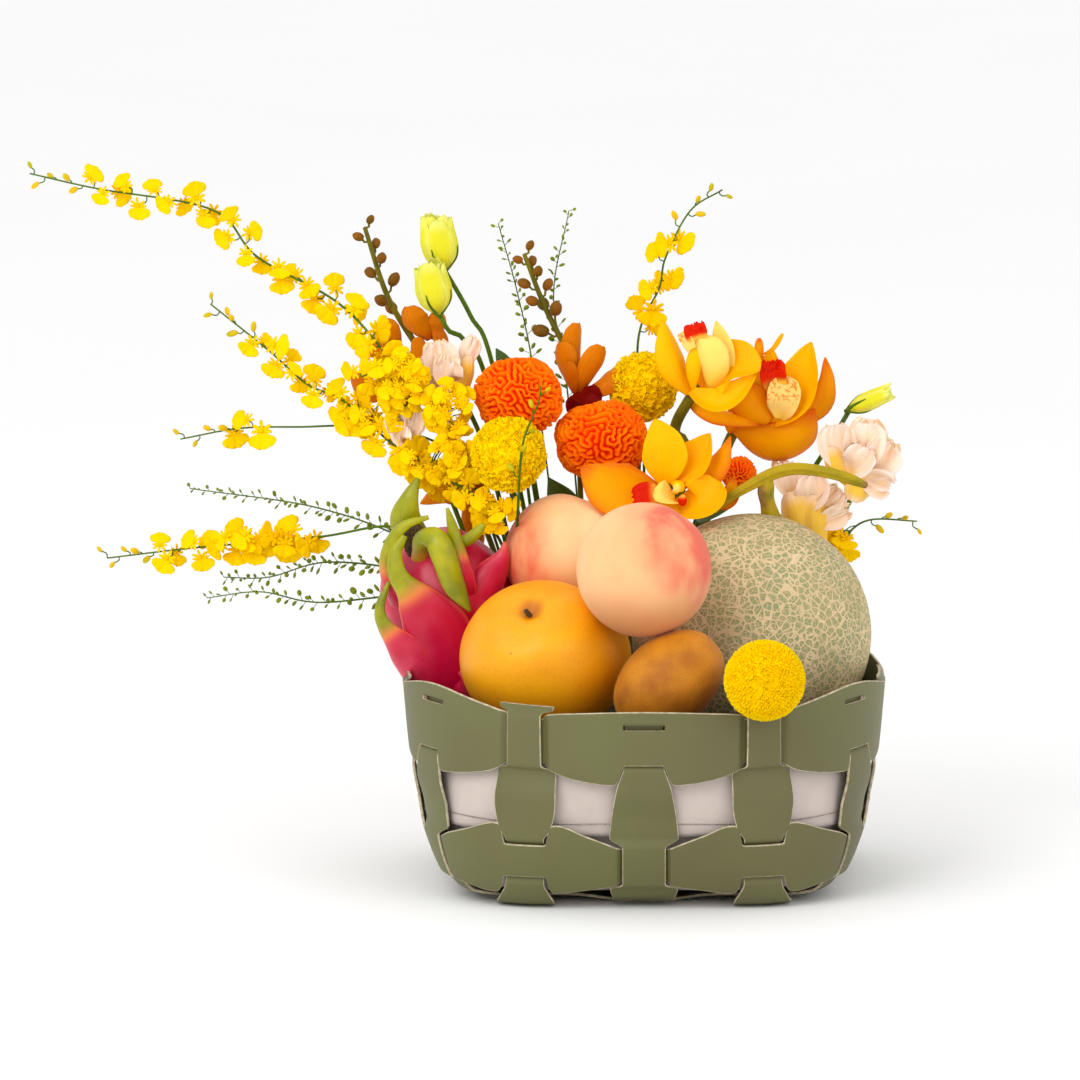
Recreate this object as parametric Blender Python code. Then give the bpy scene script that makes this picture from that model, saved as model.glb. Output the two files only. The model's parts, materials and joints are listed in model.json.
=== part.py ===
"""Woven leather gift basket filled with fruit and cut flowers.

Sizes are in millimetres and make_object turns them into metres.
The basket stands on z = 0 and its front faces -Y.
"""
import math
import random
from functools import partial
from typing import NamedTuple

import bmesh
import bpy
from mathutils import Matrix, Vector, noise

MM = 0.001
UP = Vector((0.0, 0.0, 1.0))
GAP = 0.4
SHARP_ANGLE = math.radians(40.0)

# basket wall: a rounded square that turns into a circle at the rim
STRAP = 1.8
WEAVE = 1.8
LIFT = WEAVE + STRAP / 2
RIM_HEIGHT = 133.0
BASE_HALF = 108.0
BASE_CORNER = 50.0
RIM_RADIUS = 155.0
WALL = ((0.0, BASE_HALF), (2.0, 118.0), (7.5, 125.0), (17.0, 131.0), (30.0, 137.0),
        (45.0, 142.0), (80.0, 149.0), (RIM_HEIGHT, RIM_RADIUS))
WALL_TILT = ((0.0, 80.0), (2.0, 65.0), (7.5, 42.0), (17.0, 28.5), (30.0, 21.6),
             (45.0, 15.0), (80.0, 9.0), (RIM_HEIGHT, 6.3))
CORNER_EASE = 0.8

# weave: three strips each way cross the bands at twelve places
STRIPS_A_SIDE = 3
CROSSINGS = 4 * STRIPS_A_SIDE
SPACING = 77.0

# upright strips: (height on the wall, 1 outside or -1 inside, half width)
EVEN_WALL = ((2.0, -1, 20.0), (10.0, -1, 22.0), (15.5, 1, 14.0), (41.0, 1, 14.0),
             (46.0, -1, 22.5), (57.0, -1, 21.5), (80.0, 1, 18.0), (92.0, 1, 14.0),
             (98.0, -1, 12.0), (124.0, -1, 12.0), (130.0, -1, 18.0))
ODD_WALL = ((2.0, 1, 19.0), (8.0, 1, 16.0), (16.0, 1, 12.5), (21.5, -1, 12.5),
            (41.0, -1, 12.5), (46.5, 1, 13.0), (53.0, 1, 17.5), (72.0, 1, 21.0), (90.0, -1, 21.0),
            (95.0, 1, 12.0), (127.0, 1, 12.0), (131.0, -1, 20.0), (RIM_HEIGHT, -1, 20.0))
BASE_HALF_WIDTH = 17.0
# the same strips under the base: (distance from the middle, 1 below or -1 above)
EVEN_BASE = ((19.0, 1), (58.0, -1), (96.0, -1), (BASE_HALF, -1))
ODD_BASE = ((19.0, -1), (58.0, 1), (96.0, 1), (BASE_HALF, 1))

# bands: (distance from a crossing, lower edge, upper edge, 1 outside or -1 inside)
TOP_OVER = ((13.0, 96.5, 132.0, 1), (17.5, 87.5, 132.5, 1), (26.0, 84.0, 132.5, 1))
TOP_UNDER = ((13.5, 98.0, 124.5, -1), (19.0, 94.5, 128.7, 1))
TOP_ROWS = 1
LOW_OVER = ((13.5, 21.0, 42.5, 1), (20.0, 9.5, 56.5, 1))
LOW_UNDER = ((13.5, 17.0, 39.0, -1), (19.0, 14.3, 41.0, 1))
LOW_ROWS = 2
SLOT_WIDTH = 27.0
SLOT_OPENING = 3.3
SLOT_DEPTH = 8 * STRAP
SLOT_HEIGHT = 121.6

# liner: a cloth bag with its top folded outwards as a cuff
CUFF_INSET = 6.0
CUFF_HEM = 47.5
CLOTH = 1.5
BAG_INSET = 11.0
BAG_INNER = BAG_INSET + CLOTH
LINER_TOP = 117.0
LINER_FLOOR = 4.5
BAG_CURVE = ((LINER_FLOOR, 16.0), (10.0, 4.0), (30.0, 0.0))
LINER_STEPS = 26

# loose packing under the fruit
PACKING_INSET = BAG_INNER + 7.5
PACKING_FLOOR = LINER_FLOOR + CLOTH + GAP
PACKING_CURVE = ((PACKING_FLOOR, 18.0), (12.0, 5.0), (60.0, 0.0))
PACKING_LOW = 75.0
PACKING_HIGH = 112.0
PACKING_RINGS = 5
PACKING_STEPS = 22
NEST_REACH = 1.2
NEST_ROUND = 0.8
NEST_MARGIN = 3.8

# fruit: centre and radius or radii
MELON = ((70.0, 20.0, 156.5), 78.0)
STALK_BAR = ((48.0, 20.0, 240.0), (62.0, 20.0, 252.0), (82.0, 20.0, 261.0), (106.0, 20.0, 266.0),
             (130.0, 20.0, 260.0), (144.0, 20.0, 255.0))
STALK_BAR_RADII = (2.6, 3.4, 4.0, 3.4, 3.6, 5.5)
STALK_STUB = ((84.0, 20.0, 261.0), (90.0, 20.0, 247.0), (84.0, 20.0, 236.0))
STALK_STUB_RADII = (4.2, 4.6, 6.5)
STALK_SIDES = 5
PEACH_FRONT = ((0.0, -88.0, 217.0), 44.0)
PEACH_BACK = ((-50.0, 29.0, 206.5), 41.0)
CLEFT_FRONT = (0.2, 0.4, 1.0)
CLEFT_BACK = (-0.3, 0.5, 1.0)
CLEFT_DEPTH = 0.03
CLEFT_SHARPNESS = 30.0
PEAR = ((-64.0, -46.0, 152.0), (56.0, 56.0, 49.0))
PEAR_DIMPLE = 0.07
PEAR_DIMPLE_POWER = 24
KIWI = ((14.5, -104.0, 145.5), (38.0, 28.0, 28.0))
KIWI_NEST = 33.0
KIWI_TILT = math.radians(-40.0)
DRAGON = ((-127.5, 38.0, 174.0), (43.0, 43.0, 50.0))
DRAGON_NEST = (52.0, 46.0, 52.0)
DRAGON_LEAN = math.radians(-22.0)
DRAGON_TIP = math.radians(12.0)
# leafy scales: (degrees round the fruit, degrees from its top, length, width)
DRAGON_SCALES = ((150.0, 38.0, 62.0, 26.0), (250.0, 30.0, 58.0, 22.0), (205.0, 45.0, 60.0, 24.0),
                 (320.0, 25.0, 44.0, 20.0), (60.0, 30.0, 36.0, 20.0), (215.0, 85.0, 40.0, 26.0),
                 (275.0, 75.0, 34.0, 28.0), (330.0, 70.0, 30.0, 24.0))
SCALE_ROOT = 0.93
SCALE_SPREAD = 0.35
SCALE_CURL = 0.12
SCALE_CUP = -0.1
SCALE_THICKNESS = 2.4
SMALL_GLOBE = (14, 9)
PEACH_GLOBE = (16, 10)
PEAR_GLOBE = (18, 10)
MELON_GLOBE = (20, 12)

# stems reach down to the packing
STEM_RADIUS = 1.7
THICK_STEM = 3.0
THIN_STEM = 1.8
LEAF_STEM = 1.2
STEM_SIDES = 4
STEM_FOOT = 113.3

# ball flower outside the rim, its stem bent over the rim
BALL_FLOWER = ((78.0, -157.0, 156.0), 26.5)
BALL_STEM = ((78.0, -157.0, 156.0), (72.0, -122.0, 150.0), (66.0, -108.0, STEM_FOOT))
BALL_ROUGH = (0.04, 6.0)
BALL_SEED = 3.0
BALL_GLOBE = (12, 8)

# petals: (share of the length, share of the width there)
PETAL_SPINE = ((0.0, 0.35), (0.55, 1.0), (1.0, 0.2))
FLOWER_SEEDS = 17

# open flowers: shares of the petals' reach
HEART = 0.27
HEART_GLOBE = (6, 3)
PETAL_ROOT = 0.1
PETAL_LENGTH = 0.9
PETAL_RISE = 0.35
PETAL_CURL = 0.16
PETAL_CUP = 0.16
PETAL_THICKNESS = 1.8

LEAF_CURL = -0.2
LEAF_CUP = 0.18
LEAF_THICKNESS = 1.2

# beaded stems: the neck before each floret, and how uneven the florets are
BARE_FROM = 0.01
NECK_BEFORE = 0.42
NECK_GIRTH = 1.3
BEAD_LEAST = 0.8
BEAD_MOST = 1.15
BEAD_DRIFT = 0.3

# slot: (colour, roughness)
FINISHES = {
    "strap_leather": ((0.22, 0.22, 0.10), 0.5),
    "liner_cloth": ((0.66, 0.60, 0.53), 0.9),
    "packing_fill": ((0.05, 0.07, 0.03), 0.9),
    "melon_rind": ((0.42, 0.38, 0.22), 0.7),
    "melon_stalk": ((0.30, 0.30, 0.08), 0.6),
    "kiwi_skin": ((0.26, 0.13, 0.04), 0.8),
    "pear_skin": ((0.80, 0.36, 0.04), 0.4),
    "peach_skin": ((0.85, 0.48, 0.30), 0.7),
    "dragon_skin": ((0.60, 0.04, 0.12), 0.35),
    "mum_petals": ((0.90, 0.68, 0.01), 0.6),
    "celosia_bloom": ((0.80, 0.12, 0.01), 0.8),
    "orchid_gold": ((0.90, 0.42, 0.01), 0.5),
    "orchid_bronze": ((0.45, 0.13, 0.01), 0.5),
    "cream_petals": ((0.88, 0.68, 0.52), 0.6),
    "green_bud": ((0.62, 0.68, 0.20), 0.5),
    "dancing_orchid": ((0.92, 0.66, 0.01), 0.5),
    "green_sprig": ((0.34, 0.40, 0.06), 0.6),
    "leaf_green": ((0.08, 0.14, 0.04), 0.5),
}
METALLIC = 0.0


class Bloom(NamedTuple):
    """Round flower or bud on a stem; rough is the depth and scale of its bumps."""

    slot: str
    centre: tuple
    radii: tuple
    foot: tuple
    bends: tuple
    look: tuple
    rough: tuple
    grid: tuple


BLOOMS = {
    "celosia_left": Bloom("celosia_bloom", (-81.0, 60.0, 306.0), (29.0, 26.0, 26.0), (-50.0, 84.0),
                          (), (0.0, 0.0, 1.0), (0.35, 3.5), (13, 7)),
    "celosia_middle": Bloom("celosia_bloom", (-27.5, 64.0, 276.0), (31.0, 27.0, 27.0), (-28.0, 82.0),
                            (), (0.0, 0.0, 1.0), (0.35, 3.5), (13, 7)),
    "celosia_right": Bloom("celosia_bloom", (62.0, 72.0, 252.5), (12.0, 12.0, 12.0), (4.0, 106.0),
                           ((30.0, 100.0, 205.0),), (0.0, 0.0, 1.0), (0.3, 3.5), (9, 6)),
    "chrysanthemum_left": Bloom("mum_petals", (-88.0, 18.0, 275.0), (25.0, 25.0, 20.0), (-60.0, 76.0),
                                ((-82.0, 72.0, 225.0),), (-0.1, -1.0, 0.3), (0.15, 6.0), (12, 7)),
    "chrysanthemum_right": Bloom("mum_petals", (-0.5, 102.0, 306.0), (23.0, 23.0, 18.0), (-12.0, 108.0),
                                 (), (0.1, -1.0, 0.4), (0.15, 6.0), (12, 7)),
    "cream_left_high": Bloom("cream_petals", (-124.0, 82.0, 322.0), (18.0, 18.0, 15.0), (-70.0, 84.0),
                             ((-98.0, 82.0, 250.0),), (0.0, -1.0, 0.6), (0.25, 5.0), (10, 6)),
    "cream_left_low": Bloom("cream_petals", (-154.0, 78.0, 288.0), (13.0, 13.0, 12.0), (-84.0, 84.0),
                            ((-128.0, 84.0, 240.0),), (0.0, -1.0, 0.4), (0.25, 5.0), (8, 5)),
    "cream_right_high": Bloom("cream_petals", (138.0, 66.0, 267.0), (25.0, 22.0, 21.0), (34.0, 113.0),
                              ((130.0, 106.0, 222.0), (58.0, 116.0, 135.0)), (0.1, -1.0, 0.5),
                              (0.25, 5.0), (10, 6)),
    "cream_right_low": Bloom("cream_petals", (107.0, 82.0, 233.0), (25.0, 20.0, 23.0), (46.0, 106.0),
                             ((80.0, 106.0, 190.0),), (0.0, -1.0, 0.5), (0.25, 5.0), (10, 6)),
    "bud_high": Bloom("green_bud", (-133.0, 112.0, 399.0), (14.0, 13.0, 19.0), (-56.0, 108.0),
                      ((-113.0, 116.0, 345.0),), (-0.15, 0.0, 1.0), (0.2, 3.0), (8, 6)),
    "bud_low": Bloom("green_bud", (-137.0, 94.0, 372.0), (14.0, 13.0, 18.0), (-62.0, 92.0),
                     ((-108.0, 108.0, 335.0),), (-0.2, 0.0, 1.0), (0.2, 3.0), (8, 6)),
    "bud_right": Bloom("green_bud", (147.0, 74.0, 301.0), (8.0, 8.0, 15.0), (24.0, 118.0),
                       ((112.0, 112.0, 252.0),), (0.9, 0.0, 0.4), (0.2, 3.0), (8, 5)),
}


class Spike(NamedTuple):
    """Buds on a stalk; first and last are the shares of its length that carry them."""

    path: tuple
    count: int
    first: float
    last: float


class Orchid(NamedTuple):
    """Open flower with pointed petals on a stem, and its bud spikes."""

    slot: str
    centre: tuple
    face: tuple
    spin: float
    reach: float
    width: float
    petals: int
    foot: tuple
    bends: tuple
    stem: float
    spikes: tuple = ()
    seed: int = 0


SPIKE_BUD = 5.0
SPIKE_STALK = 1.6
SPIKE_SIDES = 5
ORCHIDS = {
    "orchid_gold_high": Orchid("orchid_gold", (38.0, 62.0, 318.0), (0.1, -0.7, 0.75), 20.0, 36.0, 26.0, 5,
                               (-4.0, 90.0), ((24.0, 78.0, 280.0),), THICK_STEM),
    "orchid_gold_right": Orchid("orchid_gold", (92.0, 84.0, 303.0), (-0.1, -0.7, 0.7), 55.0, 42.0, 30.0, 5,
                                (14.0, 98.0), ((66.0, 98.0, 262.0),), THICK_STEM),
    "orchid_gold_front": Orchid("orchid_gold", (16.0, 24.0, 255.0), (-0.1, -0.8, 0.6), 0.0, 42.0, 30.0, 5,
                                (-18.0, 88.0), ((4.0, 60.0, 232.0),), THICK_STEM),
    "orchid_bronze_middle": Orchid("orchid_bronze", (-43.5, 104.0, 314.0), (0.2, -0.8, 0.6), 30.0,
                                   28.0, 17.0, 5, (-38.0, 98.0), (), THIN_STEM,
                                   (Spike(((-78.0, 108.0, 392.0), (-64.0, 108.0, 356.0),
                                           (-43.0, 101.0, 316.0)), 4, 0.0, 0.55),), 3),
    "orchid_bronze_left": Orchid("orchid_bronze", (-152.0, 122.0, 328.0), (-0.3, -0.8, 0.5), 52.0,
                                 28.0, 18.0, 5, (-68.0, 108.0), ((-112.0, 126.0, 230.0),), THIN_STEM,
                                 (Spike(((-180.0, 124.0, 407.0), (-170.0, 124.0, 370.0),
                                         (-152.0, 122.0, 330.0)), 4, 0.0, 0.6),), 5),
    "orchid_bronze_low": Orchid("orchid_bronze", (-116.0, 110.0, 228.0), (-0.2, -0.9, 0.3), 90.0,
                                26.0, 16.0, 4, (-80.0, 98.0), (), THIN_STEM),
}


class Spray(NamedTuple):
    """Branching stem with florets or seeds."""

    slot: str
    floret: float
    stem: float
    sides: int
    seed: int
    branches: tuple


SPRIG_FORK = (-108.0, 106.0, 160.0)
SPRAYS = {
    "dancing_spray_top": Spray("dancing_orchid", 10.0, 1.3, 4, 4, (
        Spike(((-400.0, 104.0, 446.0), (-356.0, 104.0, 436.0), (-281.0, 104.0, 422.0),
               (-252.0, 104.0, 391.0), (-199.0, 100.0, 361.0), (-164.0, 62.0, 329.0),
               (-134.0, 56.0, 290.0), (-97.0, 76.0, 230.0), (-74.0, 79.0, STEM_FOOT)), 18, 0.0, 0.6),
        Spike(((-178.0, 54.0, 320.0), (-164.0, 62.0, 329.0), (-118.0, 46.0, 316.0)), 4, 0.0, 1.0))),
    "dancing_spray_upper": Spray("dancing_orchid", 10.0, 1.3, 4, 9, (
        Spike(((-282.0, 66.0, 366.0), (-245.0, 66.0, 336.0), (-219.0, 66.0, 313.0),
               (-196.0, 62.0, 303.0), (-158.0, 57.0, 270.0), (-126.0, 52.0, 248.0),
               (-90.0, 70.0, 200.0), (-84.0, 70.0, STEM_FOOT)), 13, 0.0, 0.55),
        Spike(((-139.0, 54.0, 256.8), (-116.0, 28.0, 250.0), (-94.0, 14.0, 232.0)), 4, 0.02, 1.0))),
    "dancing_spray_middle": Spray("dancing_orchid", 10.0, 1.2, 4, 12, (
        Spike(((-302.0, 84.0, 274.0), (-264.0, 84.0, 281.0), (-225.0, 84.0, 282.0),
               (-176.0, 92.0, 280.0), (-124.0, 92.0, 262.0), (-92.0, 94.0, 190.0),
               (-78.0, 90.0, STEM_FOOT)), 5, 0.0, 0.22),)),
    "dancing_spray_low": Spray("dancing_orchid", 10.0, 1.2, 4, 15, (
        Spike(((-350.0, 92.0, 194.0), (-291.0, 92.0, 201.0), (-212.0, 92.0, 208.0),
               (-160.0, 94.0, 214.0), (-112.0, 94.0, 190.0), (-90.0, 92.0, STEM_FOOT)), 9, 0.02, 0.42),)),
    "dancing_spray_rear": Spray("dancing_orchid", 9.0, 1.2, 4, 21, (
        Spike(((51.0, 112.0, 434.0), (30.0, 112.0, 420.0), (14.0, 112.0, 389.0), (10.0, 114.0, 369.0),
               (-4.0, 130.0, 330.0), (0.0, 130.0, 250.0), (-2.0, 118.0, STEM_FOOT)), 7, 0.0, 0.36),)),
    "dancing_spray_right": Spray("dancing_orchid", 8.0, 1.2, 4, 23, (
        Spike(((178.0, 100.0, 217.0), (148.0, 100.0, 218.0), (132.0, 112.0, 206.0),
               (110.0, 116.0, 180.0), (60.0, 106.0, STEM_FOOT)), 4, 0.0, 0.34),)),
    "green_sprig_left": Spray("green_sprig", 4.5, 1.0, 3, 31, (
        Spike(((-296.0, 110.0, 237.0), (-212.0, 110.0, 224.0), (-150.0, 108.0, 200.0), SPRIG_FORK,
               (-74.0, 100.0, STEM_FOOT)), 7, 0.0, 0.6),
        Spike(((-274.0, 100.0, 180.0), (-206.0, 100.0, 190.0), (-150.0, 104.0, 182.0), SPRIG_FORK),
              6, 0.0, 0.75),
        Spike(((-285.0, 96.0, 167.0), (-212.0, 96.0, 168.0), (-150.0, 102.0, 168.0), SPRIG_FORK),
              6, 0.0, 0.75))),
    "green_sprig_rear_left": Spray("green_sprig", 4.5, 1.0, 3, 33, (
        Spike(((-95.0, 122.0, 410.0), (-82.0, 122.0, 362.0), (-70.0, 116.0, 300.0),
               (-46.0, 114.0, STEM_FOOT)), 8, 0.0, 0.36),)),
    "green_sprig_rear_right": Spray("green_sprig", 4.5, 1.0, 3, 35, (
        Spike(((-49.0, 124.0, 418.0), (-59.0, 124.0, 362.0), (-50.0, 120.0, 300.0),
               (-34.0, 116.0, STEM_FOOT)), 8, 0.0, 0.38),)),
}


class Leaf(NamedTuple):
    """Pointed leaf: where it starts, where it points and the way it looks."""

    base: tuple
    direction: tuple
    face: tuple
    length: float
    width: float
    foot: tuple


LEAVES = {
    "leaf_rear": Leaf((-92.0, 126.0, 320.0), (-0.1, -0.2, 1.0), (0.0, -1.0, 0.2), 36.0, 14.0,
                      (-60.0, 114.0)),
    "leaf_middle": Leaf((-46.0, 74.0, 222.0), (-0.35, -0.4, 0.7), (0.0, -1.0, 0.4), 34.0, 18.0,
                        (-40.0, 78.0)),
    "leaf_right": Leaf((34.0, 88.0, 222.0), (0.5, -0.5, 0.3), (0.0, -1.0, 0.6), 32.0, 18.0, (4.0, 96.0)),
}


def clear_scene():
    """Remove every object."""
    for obj in list(bpy.data.objects):
        bpy.data.objects.remove(obj, do_unlink=True)


def material(slot):
    """Principled material of a slot."""
    mat = bpy.data.materials.get(slot) or bpy.data.materials.new(slot)
    mat.use_nodes = True
    colour, roughness = FINISHES[slot]
    inputs = mat.node_tree.nodes["Principled BSDF"].inputs
    inputs["Base Color"].default_value = (*colour, 1.0)
    inputs["Roughness"].default_value = roughness
    inputs["Metallic"].default_value = METALLIC
    return mat


def shade(mesh):
    """Smooth shading that keeps the sharp edges."""
    mesh.shade_smooth()
    mesh.set_sharp_from_angle(angle=SHARP_ANGLE)


def make_object(name, shape, slot):
    """Object in metres from (points, faces) in millimetres."""
    points, faces = shape
    mesh = bpy.data.meshes.new(name)
    mesh.from_pydata([tuple(Vector(p) * MM) for p in points], [], faces)
    work = bmesh.new()
    work.from_mesh(mesh)
    bmesh.ops.triangulate(work, faces=work.faces)
    bmesh.ops.recalc_face_normals(work, faces=work.faces)
    work.to_mesh(mesh)
    work.free()
    shade(mesh)
    mesh.materials.append(material(slot))
    obj = bpy.data.objects.new(name, mesh)
    bpy.context.scene.collection.objects.link(obj)
    return obj


def combine(obj, tools, operation):
    """Boolean of obj with the tool shapes, applied."""
    group = bpy.data.collections.new(obj.name + "_tools")
    bpy.context.scene.collection.children.link(group)
    slot = obj.data.materials[0].name
    for index, shape in enumerate(tools):
        tool = make_object(f"{obj.name}_tool_{index}", shape, slot)
        bpy.context.scene.collection.objects.unlink(tool)
        group.objects.link(tool)
        tool.hide_render = True
        tool.display_type = "WIRE"
    mod = obj.modifiers.new("combine", "BOOLEAN")
    mod.operation = operation
    mod.operand_type = "COLLECTION"
    mod.collection = group
    depsgraph = bpy.context.evaluated_depsgraph_get()
    mesh = bpy.data.meshes.new_from_object(obj.evaluated_get(depsgraph))
    obj.modifiers.clear()
    obj.data = mesh
    shade(mesh)
    for tool in list(group.objects):
        bpy.data.objects.remove(tool, do_unlink=True)
    bpy.data.collections.remove(group)


def fuse(name, shapes, slot):
    """One solid from shapes that overlap."""
    obj = make_object(name, shapes[0], slot)
    if len(shapes) > 1:
        combine(obj, shapes[1:], "UNION")


def interp(x, table):
    """Value at x on the straight pieces through the (x, value) pairs."""
    if x <= table[0][0]:
        return table[0][1]
    for (x0, v0), (x1, v1) in zip(table, table[1:]):
        if x <= x1:
            return v0 + (v1 - v0) * (x - x0) / (x1 - x0)
    return table[-1][1]


def corner_radius(z):
    """Corner radius of the wall at height z."""
    ease = max(0.0, min(1.0, z / RIM_HEIGHT)) ** CORNER_EASE
    return BASE_CORNER + (RIM_RADIUS - BASE_CORNER) * ease


def quarter_length(half, corner):
    """Length of a quarter of the wall's outline."""
    return 2 * (half - corner) + 0.5 * math.pi * corner


def side_arc(side, shift, half, corner):
    """Length along the wall from a side's middle to the sideways place, and the shift past it."""
    flat = half - corner
    if abs(side) <= flat:
        return side + shift
    return math.copysign(flat + corner * math.asin((abs(side) - flat) / corner), side) + shift


def crossing_arc(index, shift, half, corner):
    """Length along the wall to crossing number index, 0 at the front middle, and the shift past it."""
    side, place = divmod(index + 1, STRIPS_A_SIDE)
    return side * quarter_length(half, corner) + side_arc((place - 1) * SPACING, shift, half, corner)


def midway_arc(index, half, corner):
    """Length along the wall to the middle between a crossing and the next."""
    return (crossing_arc(index, 0.0, half, corner) + crossing_arc(index + 1, 0.0, half, corner)) / 2


def section_point(q, half, corner):
    """Point and outward direction at length q round the wall, from the front middle."""
    flat = half - corner
    quarter = quarter_length(half, corner)
    turn = math.floor(q / quarter + 0.5)
    q -= turn * quarter
    angle = max(0.0, (abs(q) - flat) / corner)
    sign = 1.0 if q >= 0 else -1.0
    if angle > 0:
        point = Vector((sign * (flat + corner * math.sin(angle)), -flat - corner * math.cos(angle), 0.0))
    else:
        point = Vector((q, -half, 0.0))
    out = Vector((sign * math.sin(angle), -math.cos(angle), 0.0))
    spin = Matrix.Rotation(turn * math.pi / 2, 3, "Z")
    return spin @ point, spin @ out


def wall_point(q_of, z, offset):
    """Point at height z on the wall moved outwards by the offset; q_of gives q at the level."""
    half = interp(z, WALL)
    corner = min(half, corner_radius(z))
    point, out = section_point(q_of(half, corner), half, corner)
    tilt = math.radians(interp(z, WALL_TILT))
    normal = out * math.cos(tilt) - UP * math.sin(tilt)
    return point + UP * (z + LIFT) + normal * offset


def band_stations(over, under, band_over_even):
    """(place along the wall, lower edge, upper edge, side) all the way round a band."""
    gap_low = (over[-1][1] + under[-1][1]) / 2
    gap_high = (over[-1][2] + under[-1][2]) / 2
    stations = []
    for index in range(CROSSINGS):
        table = over if (index % 2 == 0) == band_over_even else under
        for distance, low, high, side in table[::-1]:
            stations.append((partial(crossing_arc, index, -distance), low, high, side))
        for distance, low, high, side in table:
            stations.append((partial(crossing_arc, index, distance), low, high, side))
        stations.append((partial(midway_arc, index), gap_low, gap_high, 1))
    return stations


def band_shape(over, under, rows, band_over_even):
    """Closed ring; it lies outside at every second crossing and inside at the rest."""
    stations = band_stations(over, under, band_over_even)
    points = []
    for q_of, low, high, side in stations:
        for face in (1, -1):
            for row in range(rows + 1):
                z = low + (high - low) * row / rows
                points.append(wall_point(q_of, z, side * WEAVE + face * STRAP / 2))
    loop = 2 * (rows + 1)
    ring = list(range(rows + 1)) + list(range(loop - 1, rows, -1))
    faces = []
    for place in range(len(stations)):
        start = place * loop
        following = (place + 1) % len(stations) * loop
        for a, b in zip(ring, ring[1:] + ring[:1]):
            faces.append((start + a, following + a, following + b, start + b))
    return points, faces


def box_shape(centre, across, out, size):
    """Box with its width across, its depth along out and its height along Z."""
    axes = (across * size[0] / 2, out * size[1] / 2, UP * size[2] / 2)
    points = []
    for sx, sy, sz in ((x, y, z) for x in (-1, 1) for y in (-1, 1) for z in (-1, 1)):
        points.append(centre + axes[0] * sx + axes[1] * sy + axes[2] * sz)
    faces = [(0, 1, 3, 2), (4, 6, 7, 5), (0, 4, 5, 1), (2, 3, 7, 6), (0, 2, 6, 4), (1, 5, 7, 3)]
    return points, faces


def slot_tools():
    """Cutters for the flat slots under the rim."""
    half = interp(SLOT_HEIGHT, WALL)
    corner = corner_radius(SLOT_HEIGHT)
    tools = []
    for index in range(0, CROSSINGS, 2):
        point, out = section_point(crossing_arc(index, 0.0, half, corner), half, corner)
        centre = point + out * WEAVE + UP * (SLOT_HEIGHT + LIFT)
        tools.append(box_shape(centre, out.cross(UP), out, (SLOT_WIDTH, SLOT_DEPTH, SLOT_OPENING)))
    return tools


def base_edge(side):
    """Distance from the middle line to the flat edge of the base at a sideways place."""
    flat = BASE_HALF - BASE_CORNER
    if abs(side) <= flat:
        return BASE_HALF
    return flat + math.sqrt(BASE_CORNER ** 2 - (abs(side) - flat) ** 2)


def strip_rows(side, even):
    """(end, sideways place, height or None, reach, side of the weave, half width) from rim to rim."""
    wall = EVEN_WALL if even else ODD_WALL
    base = EVEN_BASE if even else ODD_BASE
    half = [(None, reach, sign, BASE_HALF_WIDTH) for reach, sign in base]
    half += [(z, 0.0, sign, half_width) for z, sign, half_width in wall]
    return [(-1, *row) for row in reversed(half)] + [(1, *row) for row in half]


def strip_shape(side, even, along_x):
    """Strip that runs up one wall, across the base and up the wall opposite."""
    rows = strip_rows(side, even)
    points = []
    for end, z, reach, sign, half_width in rows:
        for face in (1, -1):
            offset = sign * WEAVE + face * STRAP / 2
            for across in (-1, 0, 1):
                shift = across * half_width
                if z is None:
                    x = side + shift
                    point = Vector((x, -reach / BASE_HALF * base_edge(x), LIFT - offset))
                else:
                    point = wall_point(partial(side_arc, side, shift), z, offset)
                point.y *= -end
                points.append(Vector((point.y, point.x, point.z)) if along_x else point)
    ring = (0, 1, 2, 5, 4, 3)
    faces = []
    for row in range(len(rows) - 1):
        start = row * len(ring)
        for a, b in zip(ring, ring[1:] + ring[:1]):
            faces.append((start + a, start + 6 + a, start + 6 + b, start + b))
    last = (len(rows) - 1) * len(ring)
    for start in (0, last):
        faces += [(start, start + 1, start + 4, start + 3), (start + 1, start + 2, start + 5, start + 4)]
    return points, faces


def swept_cup(profile, steps):
    """Wall from (z, inset) pairs, swept round the basket and open at both ends."""
    points = []
    for z, inset in profile:
        half = interp(z, WALL) - inset
        corner = min(half, corner_radius(z) - inset)
        length = 4 * quarter_length(half, corner)
        for step in range(steps):
            point, _ = section_point(length * step / steps, half, corner)
            points.append(point + UP * (z + LIFT))
    faces = []
    for level in range(len(profile) - 1):
        for step in range(steps):
            a = level * steps + step
            b = level * steps + (step + 1) % steps
            faces.append((a, b, b + steps, a + steps))
    return points, faces


def liner_shape():
    """Bag and folded cuff as one closed cloth body."""
    outer = [(z, BAG_INSET + inset) for z, inset in BAG_CURVE]
    floor_rise = (CLOTH, CLOTH, 0.0)
    inner = [(z + rise, BAG_INNER + inset) for (z, inset), rise in zip(BAG_CURVE, floor_rise)]
    fold = LINER_TOP - 2 * CLOTH
    cuff = [(fold, BAG_INSET), (fold, CUFF_INSET + CLOTH), (CUFF_HEM, CUFF_INSET + CLOTH),
            (CUFF_HEM, CUFF_INSET), (LINER_TOP, CUFF_INSET), (LINER_TOP, BAG_INNER)]
    profile = outer + cuff + inner[::-1]
    points, faces = swept_cup(profile, LINER_STEPS)
    points.append(Vector((0.0, 0.0, LINER_FLOOR + LIFT)))
    points.append(Vector((0.0, 0.0, LINER_FLOOR + CLOTH + LIFT)))
    last = (len(profile) - 1) * LINER_STEPS
    for step in range(LINER_STEPS):
        following = (step + 1) % LINER_STEPS
        faces.append((len(points) - 2, following, step))
        faces.append((len(points) - 1, last + step, last + following))
    return points, faces


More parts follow.
